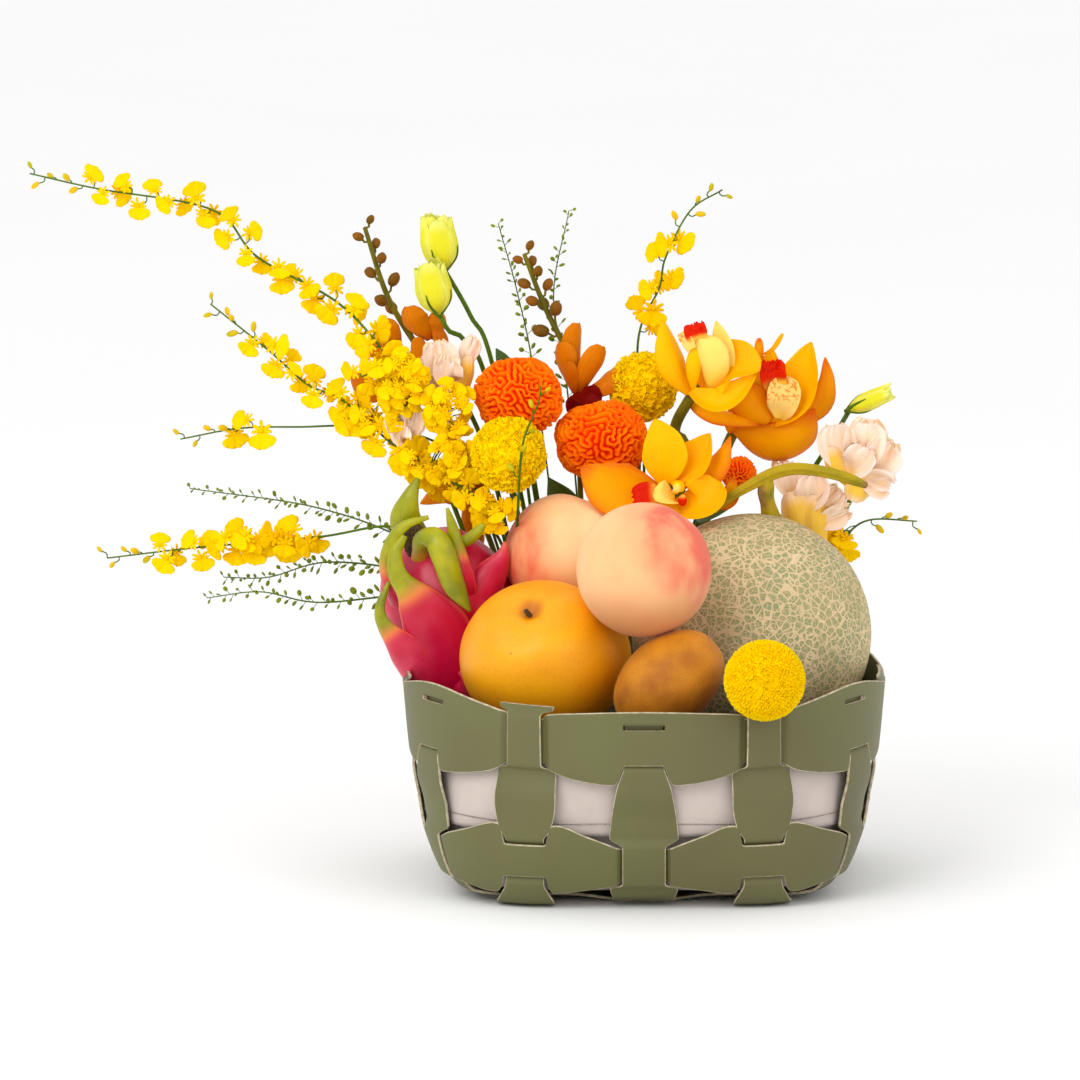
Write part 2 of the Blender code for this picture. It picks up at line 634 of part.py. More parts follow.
def nest_height(x, y):
    """Height of the packing at (x, y): it rises where the fruit above leaves room."""
    fruit = [(MELON[0], (MELON[1],) * 3), (PEACH_BACK[0], (PEACH_BACK[1],) * 3), PEAR,
             (KIWI[0], (KIWI_NEST,) * 3), (DRAGON[0], DRAGON_NEST), (PEACH_FRONT[0], (PEACH_FRONT[1],) * 3)]
    height = PACKING_HIGH
    for centre, radii in fruit:
        away = math.hypot((x - centre[0]) / radii[0], (y - centre[1]) / radii[1])
        if away < NEST_REACH:
            drop = math.sqrt(1.0 - min(away, NEST_ROUND) ** 2)
            height = min(height, centre[2] - radii[2] * drop - NEST_MARGIN)
    return max(PACKING_LOW, height)


def packing_shape():
    """Block of packing that fills the bag, with nests for the fruit in its top."""
    levels = [(z, PACKING_INSET + inset) for z, inset in PACKING_CURVE]
    points, faces = swept_cup(levels, PACKING_STEPS)
    edge = (len(levels) - 1) * PACKING_STEPS
    for ring in range(PACKING_RINGS):
        share = 1.0 - ring / PACKING_RINGS
        for step in range(PACKING_STEPS):
            rim = points[edge + step]
            x, y = rim.x * share, rim.y * share
            points.append(Vector((x, y, nest_height(x, y))))
    for ring in range(PACKING_RINGS):
        for step in range(PACKING_STEPS):
            a = edge + ring * PACKING_STEPS + step
            b = edge + ring * PACKING_STEPS + (step + 1) % PACKING_STEPS
            faces.append((a, b, b + PACKING_STEPS, a + PACKING_STEPS))
    points.append(Vector((0.0, 0.0, nest_height(0.0, 0.0))))
    points.append(Vector((0.0, 0.0, PACKING_FLOOR + LIFT)))
    last = len(points) - 2 - PACKING_STEPS
    for step in range(PACKING_STEPS):
        following = (step + 1) % PACKING_STEPS
        faces.append((last + step, last + following, len(points) - 2))
        faces.append((following, step, len(points) - 1))
    return points, faces


def polar_direction(around, polar):
    """Unit vector at the angles round the Z axis and down from it."""
    return Vector((math.sin(polar) * math.cos(around), math.sin(polar) * math.sin(around), math.cos(polar)))


def globe(centre, radii, grid, surface=None, turn=None):
    """Closed ellipsoid with a (steps, rings) grid; surface(direction) scales each point's radius."""
    steps, rings = grid
    turn = turn or Matrix.Identity(3)
    points = []
    for ring in range(rings + 1):
        for step in range(steps if 0 < ring < rings else 1):
            direction = polar_direction(2 * math.pi * step / steps, math.pi * ring / rings)
            scale = surface(direction) if surface else 1.0
            points.append(Vector(centre) + turn @ (direction * Vector(radii)) * scale)
    last = len(points) - 1
    faces = []
    for step in range(steps):
        following = (step + 1) % steps
        faces.append((0, 1 + step, 1 + following))
        faces.append((last, last - steps + following, last - steps + step))
        for ring in range(rings - 2):
            a = 1 + ring * steps + step
            b = 1 + ring * steps + following
            faces.append((a, a + steps, b + steps, b))
    return points, faces


def tube(path, radii, sides):
    """Closed tube through the path points; radii holds one radius a point."""
    path = [Vector(p) for p in path]
    points = []
    for place, centre in enumerate(path):
        before = path[max(0, place - 1)]
        after = path[min(len(path) - 1, place + 1)]
        tangent = (after - before).normalized()
        side = tangent.cross(Vector((0.3, 1.0, 0.2))).normalized()
        other = tangent.cross(side)
        for step in range(sides):
            angle = 2 * math.pi * step / sides
            points.append(centre + (side * math.cos(angle) + other * math.sin(angle)) * radii[place])
    faces = [tuple(range(sides)), tuple(range(len(points) - 1, len(points) - 1 - sides, -1))]
    for place in range(len(path) - 1):
        for step in range(sides):
            a = place * sides + step
            b = place * sides + (step + 1) % sides
            faces.append((a, b, b + sides, a + sides))
    return points, faces


def stem(path, radius):
    """Plain stem through the path points."""
    return tube(path, [radius] * len(path), STEM_SIDES)


def petal(base, direction, face, length, width, curl, cup, thick):
    """Thin cupped petal from its base along a direction; face is the way it looks."""
    direction = Vector(direction).normalized()
    across = direction.cross(Vector(face)).normalized()
    face = across.cross(direction)
    grid = []
    for share, breadth in PETAL_SPINE:
        centre = Vector(base) + direction * length * share + face * length * curl * share ** 2
        row = []
        for place in (-1, 0, 1):
            edge = abs(place) * width * cup * breadth
            row.append(centre + across * place * width / 2 * breadth + face * edge)
        grid.append(row)
    return thin_solid(grid, thick)


def thin_solid(grid, thick):
    """Closed thin solid over a grid of points, split into triangles alike on both faces."""
    rows, columns = len(grid), len(grid[0])
    points = []
    for sign in (0.5, -0.5):
        for r in range(rows):
            for c in range(columns):
                up_grid = grid[min(r + 1, rows - 1)][c] - grid[max(r - 1, 0)][c]
                across = grid[r][min(c + 1, columns - 1)] - grid[r][max(c - 1, 0)]
                points.append(grid[r][c] + up_grid.cross(across).normalized() * thick * sign)
    shift = rows * columns
    faces = []
    for r in range(rows - 1):
        for c in range(columns - 1):
            a = r * columns + c
            for one in ((a, a + 1, a + columns + 1), (a, a + columns + 1, a + columns)):
                faces.append(one)
                faces.append(tuple(i + shift for i in reversed(one)))
    border = [(0, c) for c in range(columns)] + [(r, columns - 1) for r in range(1, rows)]
    border += [(rows - 1, c) for c in range(columns - 2, -1, -1)] + [(r, 0) for r in range(rows - 2, 0, -1)]
    indices = [r * columns + c for r, c in border]
    for a, b in zip(indices, indices[1:] + indices[:1]):
        faces.append((a, b, b + shift, a + shift))
    return points, faces


def bumpy(seed, depth, scale):
    """Surface function with soft bumps."""
    def surface(direction):
        return 1.0 + depth * noise.noise(direction * scale + Vector((seed, seed * 2.0, 0.0)))
    return surface


def along(path, share):
    """Point at a share of the path's length."""
    points = [Vector(p) for p in path]
    lengths = [(b - a).length for a, b in zip(points, points[1:])]
    reach = share * sum(lengths)
    part = 0
    while part < len(lengths) - 1 and reach > lengths[part]:
        reach -= lengths[part]
        part += 1
    return points[part].lerp(points[part + 1], min(1.0, reach / lengths[part]))


def bare_shares(path, last):
    """Shares of the path's length at its bends past the last floret."""
    lengths = [(Vector(b) - Vector(a)).length for a, b in zip(path, path[1:])]
    reached = [sum(lengths[:count + 1]) / sum(lengths) for count in range(len(lengths))]
    return [min(1.0, share) for share in reached if share > last + BARE_FROM]


def beads(spike, floret, thin, sides, draw):
    """Stem that swells into florets, buds or seeds between two shares of its length."""
    shares = [(0.0, thin)] if spike.first > 0 else []
    step = (spike.last - spike.first) / spike.count
    for index in range(spike.count):
        middle = spike.first + step * (index + 0.5)
        shares.append((middle - step * NECK_BEFORE, thin * NECK_GIRTH))
        shares.append((middle, floret * draw.uniform(BEAD_LEAST, BEAD_MOST)))
    bare = bare_shares(spike.path, spike.last)
    shares += [(share, thin) for share in bare] or [(spike.last, thin)]
    centres = []
    for share, radius in shares:
        shift = Vector((draw.uniform(-1, 1), draw.uniform(-1, 1), draw.uniform(-1, 1)))
        centres.append(along(spike.path, share) + shift * (radius - thin) * BEAD_DRIFT)
    return tube(centres, [radius for _, radius in shares], sides)


def build_basket():
    """Bands, strips, liner and packing."""
    top = make_object("band_top", band_shape(TOP_OVER, TOP_UNDER, TOP_ROWS, True), "strap_leather")
    combine(top, slot_tools(), "DIFFERENCE")
    make_object("band_low", band_shape(LOW_OVER, LOW_UNDER, LOW_ROWS, False), "strap_leather")
    for place, word in ((-1, "left"), (0, "middle"), (1, "right")):
        shape = strip_shape(place * SPACING, place == 0, False)
        make_object(f"strip_front_back_{word}", shape, "strap_leather")
    for place, word in ((-1, "front"), (0, "middle"), (1, "rear")):
        shape = strip_shape(place * SPACING, place != 0, True)
        make_object(f"strip_left_right_{word}", shape, "strap_leather")
    make_object("liner", liner_shape(), "liner_cloth")
    make_object("packing", packing_shape(), "packing_fill")


def peach_surface(cleft):
    """Round fruit with a shallow cleft on the side the cleft direction points to."""
    cleft = Vector(cleft).normalized()

    def surface(direction):
        towards = max(0.0, direction.dot(cleft))
        side = direction - cleft * direction.dot(cleft)
        return 1.0 - CLEFT_DEPTH * towards * math.exp(-CLEFT_SHARPNESS * side.x ** 2)
    return surface


def pear_surface(direction):
    """Round fruit with a dimple in its top."""
    return 1.0 - PEAR_DIMPLE * max(0.0, direction.z) ** PEAR_DIMPLE_POWER


def dragon_shapes():
    """Body and the leafy scales of the dragon fruit."""
    centre, radii = DRAGON
    turn = Matrix.Rotation(DRAGON_LEAN, 3, "Y") @ Matrix.Rotation(DRAGON_TIP, 3, "X")
    shapes = [globe(centre, radii, SMALL_GLOBE, None, turn)]
    for around, polar, length, width in DRAGON_SCALES:
        out = polar_direction(math.radians(around), math.radians(polar))
        root = Vector(centre) + turn @ (out * Vector(radii)) * SCALE_ROOT
        shapes.append(petal(root, turn @ (UP + out * SCALE_SPREAD), turn @ out, length, width,
                            SCALE_CURL, SCALE_CUP, SCALE_THICKNESS))
    return shapes


def build_fruit():
    """Fruit and the ball flower on the rim."""
    make_object("melon", globe(MELON[0], (MELON[1],) * 3, MELON_GLOBE), "melon_rind")
    fuse("melon_stalk", [tube(STALK_BAR, STALK_BAR_RADII, STALK_SIDES),
                         tube(STALK_STUB, STALK_STUB_RADII, STALK_SIDES)], "melon_stalk")
    turn = Matrix.Rotation(KIWI_TILT, 3, "Y")
    make_object("kiwi", globe(*KIWI, SMALL_GLOBE, None, turn), "kiwi_skin")
    make_object("pear", globe(*PEAR, PEAR_GLOBE, pear_surface), "pear_skin")
    for name, (centre, radius), cleft in (("peach_front", PEACH_FRONT, CLEFT_FRONT),
                                          ("peach_back", PEACH_BACK, CLEFT_BACK)):
        make_object(name, globe(centre, (radius,) * 3, PEACH_GLOBE, peach_surface(cleft)), "peach_skin")
    fuse("dragon_fruit", dragon_shapes(), "dragon_skin")
    ball = globe(BALL_FLOWER[0], (BALL_FLOWER[1],) * 3, BALL_GLOBE, bumpy(BALL_SEED, *BALL_ROUGH))
    fuse("ball_flower", [ball, stem(BALL_STEM, STEM_RADIUS)], "mum_petals")


def build_blooms():
    """Round flowers and buds."""
    for name, bloom in BLOOMS.items():
        turn = Vector(bloom.look).to_track_quat("Z", "Y").to_matrix()
        surface = bumpy(abs(bloom.centre[0]) % FLOWER_SEEDS, *bloom.rough)
        head = globe(bloom.centre, bloom.radii, bloom.grid, surface, turn)
        stalk = stem((bloom.centre, *bloom.bends, (*bloom.foot, STEM_FOOT)), STEM_RADIUS)
        fuse(name, [head, stalk], bloom.slot)


def orchid_shapes(flower):
    """Heart, petals, stem and bud spikes of an open flower."""
    face = Vector(flower.face).normalized()
    side = face.cross(UP).normalized()
    other = side.cross(face)
    centre = Vector(flower.centre)
    shapes = [globe(centre, (flower.reach * HEART,) * 3, HEART_GLOBE)]
    for index in range(flower.petals):
        angle = math.radians(flower.spin) + 2 * math.pi * index / flower.petals
        out = side * math.cos(angle) + other * math.sin(angle) + face * PETAL_RISE
        shapes.append(petal(centre + out * flower.reach * PETAL_ROOT, out, face, flower.reach * PETAL_LENGTH,
                            flower.width, PETAL_CURL, PETAL_CUP, PETAL_THICKNESS))
    shapes.append(stem((flower.centre, *flower.bends, (*flower.foot, STEM_FOOT)), flower.stem))
    draw = random.Random(flower.seed)
    for spike in flower.spikes:
        shapes.append(beads(spike, SPIKE_BUD, SPIKE_STALK, SPIKE_SIDES, draw))
    return shapes


def build_orchids():
    """Open flowers."""
    for name, flower in ORCHIDS.items():
        fuse(name, orchid_shapes(flower), flower.slot)


def build_sprays():
    """Dancing orchid sprays and fine green sprigs."""
    for name, spray in SPRAYS.items():
        draw = random.Random(spray.seed)
        shapes = [beads(branch, spray.floret, spray.stem, spray.sides, draw) for branch in spray.branches]
        fuse(name, shapes, spray.slot)


def build_leaves():
    """Leaves between the flowers."""
    for name, leaf in LEAVES.items():
        blade = petal(leaf.base, leaf.direction, leaf.face, leaf.length, leaf.width,
                      LEAF_CURL, LEAF_CUP, LEAF_THICKNESS)
        fuse(name, [blade, stem((leaf.base, (*leaf.foot, STEM_FOOT)), LEAF_STEM)], "leaf_green")


clear_scene()
build_basket()
build_fruit()
build_blooms()
build_orchids()
build_sprays()
build_leaves()
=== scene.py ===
"""Looks of the woven leather gift basket with its fruit and cut flowers.

Sizes are in millimetres and Shape.mesh turns them into metres.
"""
import json
import math
import random

import bmesh
import bpy
import numpy as np
from mathutils import Matrix, Vector, noise

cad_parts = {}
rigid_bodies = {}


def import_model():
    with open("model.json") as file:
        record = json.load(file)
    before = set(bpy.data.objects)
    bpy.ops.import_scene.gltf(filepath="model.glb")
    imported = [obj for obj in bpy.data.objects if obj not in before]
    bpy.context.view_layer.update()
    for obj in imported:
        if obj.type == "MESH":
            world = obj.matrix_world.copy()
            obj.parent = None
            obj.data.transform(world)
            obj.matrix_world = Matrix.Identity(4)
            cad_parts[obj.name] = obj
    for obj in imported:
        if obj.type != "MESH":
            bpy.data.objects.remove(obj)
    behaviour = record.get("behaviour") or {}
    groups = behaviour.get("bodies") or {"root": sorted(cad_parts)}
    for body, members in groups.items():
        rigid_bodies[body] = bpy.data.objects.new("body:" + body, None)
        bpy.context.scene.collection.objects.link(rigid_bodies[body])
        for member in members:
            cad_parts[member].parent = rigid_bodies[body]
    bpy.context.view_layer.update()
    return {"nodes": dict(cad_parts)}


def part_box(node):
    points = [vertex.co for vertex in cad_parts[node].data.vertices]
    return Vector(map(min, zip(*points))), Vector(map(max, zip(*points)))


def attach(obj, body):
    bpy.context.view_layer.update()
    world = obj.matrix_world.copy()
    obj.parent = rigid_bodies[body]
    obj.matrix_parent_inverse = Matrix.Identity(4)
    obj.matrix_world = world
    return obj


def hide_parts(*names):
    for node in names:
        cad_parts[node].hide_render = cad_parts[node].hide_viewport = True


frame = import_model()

MM = 0.001
UP = np.array((0.0, 0.0, 1.0))

# view: the camera's distance and height angle, and the picture that it takes in
PICTURE = 1080.0
MIDDLE_COLUMN = 644.0
SIZE_OF_PIXEL = 0.65
VIEW_DISTANCE = 30000.0
VIEW_ANGLE = math.radians(9.6)
VIEW_HEIGHT = 221.5
SENSOR = 36.0
# floor, and its two linear colours
FLOOR_REACH = 30000.0
FLOOR_TINT = (0.94, 0.94, 0.94)
FLOOR_SHADE = (0.93, 0.93, 0.93)
# how far the camera sees and the lights as (name, place, size, power in watts), all in metres
CAMERA_REACH = 100.0
LIGHTS = (("key", (-1.2, -1.8, 1.7), 1.6, 24.0), ("fill", (1.6, -1.8, 1.2), 2.0, 6.0))
LIGHT_AIM = (-0.05, 0.0, 0.2)

# basket wall, strips and bands, as the solids have them
STRAP = 1.8
WEAVE = 1.8
LIFT = WEAVE + STRAP / 2
RIM_HEIGHT = 133.0
BASE_HALF = 108.0
BASE_CORNER = 50.0
RIM_RADIUS = 155.0
WALL = ((0.0, BASE_HALF), (2.0, 118.0), (7.5, 125.0), (17.0, 131.0), (30.0, 137.0),
        (45.0, 142.0), (80.0, 149.0), (RIM_HEIGHT, RIM_RADIUS))
WALL_TILT = ((0.0, 80.0), (2.0, 65.0), (7.5, 42.0), (17.0, 28.5), (30.0, 21.6),
             (45.0, 15.0), (80.0, 9.0), (RIM_HEIGHT, 6.3))
CORNER_EASE = 0.8
SPACING = 77.0
CROSSINGS = 12
# strips: (height, 1 outside or -1 inside, half width), then the same under the base
EVEN_WALL = ((2.0, -1, 20.0), (10.0, -1, 22.0), (15.5, 1, 14.0), (41.0, 1, 14.0),
             (46.0, -1, 22.5), (57.0, -1, 21.5), (80.0, 1, 18.0), (92.0, 1, 14.0),
             (98.0, -1, 12.0), (124.0, -1, 12.0), (130.0, -1, 18.0))
ODD_WALL = ((2.0, 1, 19.0), (8.0, 1, 16.0), (16.0, 1, 12.5), (21.5, -1, 12.5),
            (41.0, -1, 12.5), (46.5, 1, 13.0), (53.0, 1, 17.5), (72.0, 1, 21.0), (90.0, -1, 21.0),
            (95.0, 1, 12.0), (127.0, 1, 12.0), (129.0, 0, 13.0), (130.2, -1, 19.5),
            (131.0, -1, 20.0), (RIM_HEIGHT, -1, 20.0))
BASE_HALF_WIDTH = 17.0
EVEN_BASE = ((19.0, 1), (58.0, -1), (96.0, -1))
ODD_BASE = ((19.0, -1), (58.0, 1), (96.0, 1))
# bands: (distance from a crossing where the band lies outside, height), then 1 outside or -1 inside
TOP_LOW = ((0.0, 96.5), (13.0, 96.5), (14.3, 93.0), (16.6, 87.5), (18.4, 84.2), (21.0, 83.5), (29.5, 84.3),
           (42.0, 86.6), (55.0, 90.6), (63.0, 94.8), (66.5, 98.0), (SPACING, 98.0))
TOP_HIGH = ((0.0, 132.5), (16.0, 132.2), (42.0, 130.6), (58.6, 128.9), (62.5, 127.2), (65.0, 124.5),
            (SPACING, 124.5))
LOW_LOW = ((0.0, 21.0), (13.5, 21.0), (15.5, 13.0), (18.5, 9.8), (22.0, 9.6), (38.5, 11.6), (58.0, 14.6),
           (63.5, 17.0), (SPACING, 17.0))
LOW_HIGH = ((0.0, 42.5), (13.5, 42.5), (16.0, 52.0), (18.5, 56.0), (22.0, 56.0), (38.5, 49.4), (58.0, 41.5),
            (63.5, 39.0), (SPACING, 39.0))
WEAVE_BAND = ((0.0, 1.0), (58.0, 1.0), (63.5, -1.0), (SPACING, -1.0))
CORNER_RISE = 5.5
FREE_REACH = 26.0
SLOT_WIDTH = 27.0
SLOT_OPENING = 3.3
SLOT_HEIGHT = 121.6
CUT_ROUND = 0.45
STRAP_STEP = 1.4

# liner
CUFF_INSET = 6.0
CUFF_HEM = 47.5
CLOTH = 1.3
BAG_INSET = 11.0
LINER_TOP = 117.0
LINER_FLOOR = 4.5
HEM_STITCH = 8.0
STITCH_LENGTH = 2.6
LINER_STEPS = 216
STITCHES = 340

# dragon fruit scales
SCALE_THICK = 2.6

# flowers
STEM_FOOT = 113.3
GOLDEN_TURN = 2.39996


def linear(red, green, blue):
    """Linear colour of a screen colour with channels from 0 to 255."""
    channels = (red / 255, green / 255, blue / 255)
    return tuple(c / 12.92 if c <= 0.04045 else ((c + 0.055) / 1.055) ** 2.4 for c in channels)


def smooth_value(x, knots):
    """Value at x on a smooth curve through the (x, value) knots that never overshoots them."""
    places, values = np.array([(k[0], k[1]) for k in knots], float).T
    span = np.diff(places)
    slope = np.diff(values) / span
    grad = np.zeros(len(places))
    same = slope[:-1] * slope[1:] > 0
    grad[1:-1][same] = (2 * slope[:-1] * slope[1:])[same] / (slope[:-1] + slope[1:])[same]
    grad[0], grad[-1] = slope[0], slope[-1]
    x = np.clip(x, places[0], places[-1])
    i = np.clip(np.searchsorted(places, x) - 1, 0, len(span) - 1)
    t = (x - places[i]) / span[i]
    return ((1 + 2 * t) * (1 - t) ** 2 * values[i] + t * (1 - t) ** 2 * span[i] * grad[i]
            + t * t * (3 - 2 * t) * values[i + 1] + t * t * (t - 1) * span[i] * grad[i + 1])


def unit(vector):
    """Vectors scaled to length one."""
    vector = np.asarray(vector, float)
    return vector / np.maximum(np.linalg.norm(vector, axis=-1, keepdims=True), 1e-9)


def ruffles(points, scale, seed=0.0):
    """Soft noise from -1 to 1 at each point."""
    return np.array([noise.noise(Vector(p) * scale + Vector((seed, seed * 1.7, -seed))) for p in points])


class Shape:
    """Points in millimetres, faces with a material number, and masks with one value a point."""

    def __init__(self):
        self.points = []
        self.faces = []
        self.slots = []
        self.masks = {}
        self.count = 0

    def add(self, points, faces, slot=0, **masks):
        """Add points and faces; slot is one number, or one a face."""
        points = np.asarray(points, float).reshape(-1, 3)
        self.points.append(points)
        self.faces += [tuple(int(i) + self.count for i in face) for face in faces]
        self.slots += [slot] * len(faces) if np.isscalar(slot) else list(slot)
        for name in set(self.masks) | set(masks):
            old = self.masks.setdefault(name, [np.zeros(self.count)])
            old.append(np.broadcast_to(masks.get(name, 0.0), (len(points),)).astype(float))
        self.count += len(points)

    def mesh(self, name, finishes):
        """Mesh in metres with the masks as attributes."""
        data = bpy.data.meshes.new(name)
        data.from_pydata((np.concatenate(self.points) * MM).tolist(), [], self.faces)
        for finish in finishes:
            data.materials.append(finish)
        data.polygons.foreach_set("material_index", self.slots)
        for mask, values in self.masks.items():
            data.attributes.new(mask, "FLOAT", "POINT").data.foreach_set("value", np.concatenate(values))
        data.shade_smooth()
        return data


def new_object(name, data):
    """Object of a mesh at the origin."""
    obj = bpy.data.objects.new(name, data)
    bpy.context.scene.collection.objects.link(obj)
    return obj


def outward(data):
    """Point every face outwards."""
    work = bmesh.new()
    work.from_mesh(data)
    bmesh.ops.recalc_face_normals(work, faces=work.faces)
    work.to_mesh(data)
    work.free()


def piece(name, shape, finishes, node):
    """Finished piece that stands for a node."""
    data = shape.mesh(name, finishes)
    outward(data)
    obj = new_object(name, data)
    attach(obj, "root")
    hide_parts(node)
    return obj


def grid_faces(rows, columns, loop_rows=False, loop_columns=False):
    """Faces of a grid of points, closed on itself where asked."""
    faces = []
    for r in range(rows if loop_rows else rows - 1):
        for c in range(columns if loop_columns else columns - 1):
            a, b = r * columns + c, r * columns + (c + 1) % columns
            d, e = (r + 1) % rows * columns + c, (r + 1) % rows * columns + (c + 1) % columns
            faces.append((a, b, e, d))
    return faces


def add_sheet(shape, grid, thick, slot=0, **masks):
    """Thin closed solid over a grid of points, with its place on the grid as masks."""
    rows, columns = grid.shape[:2]
    down, over = np.gradient(grid, axis=0), np.gradient(grid, axis=1)
    normal = unit(np.cross(over, down))
    thick = np.broadcast_to(thick, (rows, columns))[..., None]
    points = np.concatenate([(grid + normal * thick / 2).reshape(-1, 3),
                             (grid - normal * thick / 2).reshape(-1, 3)])
    shift = rows * columns
    faces = grid_faces(rows, columns)
    faces += [tuple(i + shift for i in reversed(face)) for face in faces]
    border = [c for c in range(columns)] + [r * columns + columns - 1 for r in range(1, rows)]
    border += [shift - 1 - c for c in range(1, columns)] + [r * columns for r in range(rows - 2, 0, -1)]
    faces += [(b, a, a + shift, b + shift) for a, b in zip(border, border[1:] + border[:1])]
    along = np.repeat(np.linspace(0, 1, rows), columns)
    across = np.tile(np.linspace(-1, 1, columns), rows)
    shape.add(points, faces, slot, along=np.tile(along, 2), across=np.tile(across, 2),
              back=np.repeat((0.0, 1.0), shift), **masks)


def smooth_path(points, step=3.0):
    """Even points along a smooth curve through the given ones."""
    points = np.array(points, float)
    if len(points) == 2:
        points = np.array([points[0], points.mean(axis=0), points[1]])
    ends = np.vstack([2 * points[0] - points[1], points, 2 * points[-1] - points[-2]])
    fine = []
    for p0, p1, p2, p3 in zip(ends, ends[1:], ends[2:], ends[3:]):
        for t in np.linspace(0, 1, 12, endpoint=False):
            fine.append(0.5 * (2 * p1 + (p2 - p0) * t + (2 * p0 - 5 * p1 + 4 * p2 - p3) * t ** 2
                               + (3 * p1 - p0 - 3 * p2 + p3) * t ** 3))
    fine = np.array(fine + [points[-1]])
    reach = np.concatenate([[0], np.cumsum(np.linalg.norm(np.diff(fine, axis=0), axis=1))])
    even = np.linspace(0, reach[-1], max(4, int(reach[-1] / step) + 1))
    return np.stack([np.interp(even, reach, fine[:, k]) for k in range(3)], axis=1)


def path_frames(path):
    """Tangent, side and other direction at each point of a path, without twist."""
    tangents = unit(np.gradient(path, axis=0))
    side = unit(np.cross(tangents[0], (0.2, 1.0, 0.3)))
    sides = []
    for tangent in tangents:
        side = unit(side - tangent * np.dot(side, tangent))
        sides.append(side)
    sides = np.array(sides)
    return tangents, sides, np.cross(tangents, sides)


def add_tube(shape, path, radii, sides=8, slot=0, ribs=0.0, **masks):
    """Closed tube along a path; radii is one radius, or one a point."""
    count = len(path)
    radii = np.broadcast_to(radii, (count,)).astype(float)
    tangents, side, other = path_frames(path)
    angle = np.linspace(0, 2 * math.pi, sides, endpoint=False)
    girth = 1 + ribs * np.cos(angle * 5)
    ring = (side[:, None] * (np.cos(angle) * girth)[None, :, None]
            + other[:, None] * (np.sin(angle) * girth)[None, :, None])
    points = path[:, None] + ring * radii[:, None, None]
    caps = [path[0] - tangents[0] * radii[0] * 0.6, path[-1] + tangents[-1] * radii[-1] * 0.6]
    last = count * sides
    faces = grid_faces(count, sides, False, True)
    for step in range(sides):
        following = (step + 1) % sides
        faces.append((last, following, step))
        faces.append((last + 1, last - sides + step, last - sides + following))
    along = np.concatenate([np.repeat(np.linspace(0, 1, count), sides), (0.0, 1.0)])
    shape.add(np.vstack([points.reshape(-1, 3), caps]), faces, slot, along=along, **masks)


def add_ball(shape, centre, radii, steps, rings, relief=None, turn=None, slot=0, **masks):
    """Closed ball; relief(directions) gives each point's share of its radius."""
    polar = np.repeat(np.linspace(0, math.pi, rings + 1)[1:-1], steps)
    around = np.tile(np.linspace(0, 2 * math.pi, steps, endpoint=False), rings - 1)
    ways = np.stack([np.sin(polar) * np.cos(around), np.sin(polar) * np.sin(around), np.cos(polar)], axis=1)
    ways = np.vstack([ways, UP, -UP])
    local = ways * np.asarray(radii, float)
    if relief is not None:
        local = local * relief(ways)[:, None]
    if turn is not None:
        local = local @ np.array(turn).T
    top, bottom, last = len(ways) - 2, len(ways) - 1, (rings - 2) * steps
    faces = [tuple(reversed(face)) for face in grid_faces(rings - 1, steps, False, True)]
    for step in range(steps):
        following = (step + 1) % steps
        faces.append((top, step, following))
        faces.append((bottom, last + following, last + step))
    shape.add(np.asarray(centre) + local, faces, slot, along=(1 - ways[:, 2]) / 2, **masks)


def add_node(tree, kind, inputs=None, **settings):
    """Shader or geometry node; inputs holds values, or sockets to link."""
    node = tree.nodes.new(kind)
    for name, value in settings.items():
        setattr(node, name, value)
    for name, value in (inputs or {}).items():
        socket = node.inputs[name]
        if isinstance(value, bpy.types.NodeSocket):
            tree.links.new(value, socket)
        elif socket.type == "RGBA" and len(value) == 3:
            socket.default_value = (*value, 1.0)
        else:
            socket.default_value = value
    return node


def object_place(tree):
    """Object coordinates."""
    return add_node(tree, "ShaderNodeTexCoord").outputs["Object"]


def attribute(tree, name):
    """Value of a mesh attribute."""
    return add_node(tree, "ShaderNodeAttribute", attribute_name=name).outputs["Fac"]


def noise_of(tree, place, scale, detail):
    """Outputs of a noise texture."""
    return add_node(tree, "ShaderNodeTexNoise", {"Vector": place, "Scale": scale, "Detail": detail}).outputs


def stretched(tree, value, low, high, way="LINEAR"):
    """Value stretched from low and high to 0 and 1."""
    return add_node(tree, "ShaderNodeMapRange", {"Value": value, "From Min": low, "From Max": high},
                    interpolation_type=way).outputs["Result"]


def add_sockets(tree, inputs, outputs):
    """Named inputs, with a value where one is given, and named outputs of a node group."""
    for label, kind, *value in inputs:
        socket = tree.interface.new_socket(label, in_out="INPUT", socket_type="NodeSocket" + kind)
        if value:
            socket.default_value = value[0]
    for label, kind in outputs:
        tree.interface.new_socket(label, in_out="OUTPUT", socket_type="NodeSocket" + kind)
    return tree.nodes.new("NodeGroupInput").outputs, tree.nodes.new("NodeGroupOutput").inputs


def blotches_group():
    """Two colours that run into each other in soft patches."""
    group = bpy.data.node_groups.new("Blotches", "ShaderNodeTree")
    given, result = add_sockets(group, (
        ("First", "Color", (1, 1, 1, 1)), ("Second", "Color", (0, 0, 0, 1)), ("Scale", "Float", 20.0),
        ("Detail", "Float", 4.0), ("From", "Float", 0.35), ("To", "Float", 0.65),
        ("Stretch", "Vector", (1, 1, 1))), (("Colour", "Color"), ("Mask", "Float")))
    place = add_node(group, "ShaderNodeVectorMath", {0: object_place(group), 1: given["Stretch"]},
                     operation="MULTIPLY").outputs[0]
    cloud = noise_of(group, place, given["Scale"], given["Detail"])["Fac"]
    mask = stretched(group, cloud, given["From"], given["To"])
    colour = add_node(group, "ShaderNodeMix", {"Factor": mask, "A": given["First"], "B": given["Second"]},
                      data_type="RGBA")
    group.links.new(colour.outputs["Result"], result["Colour"])
    group.links.new(mask, result["Mask"])
    return group


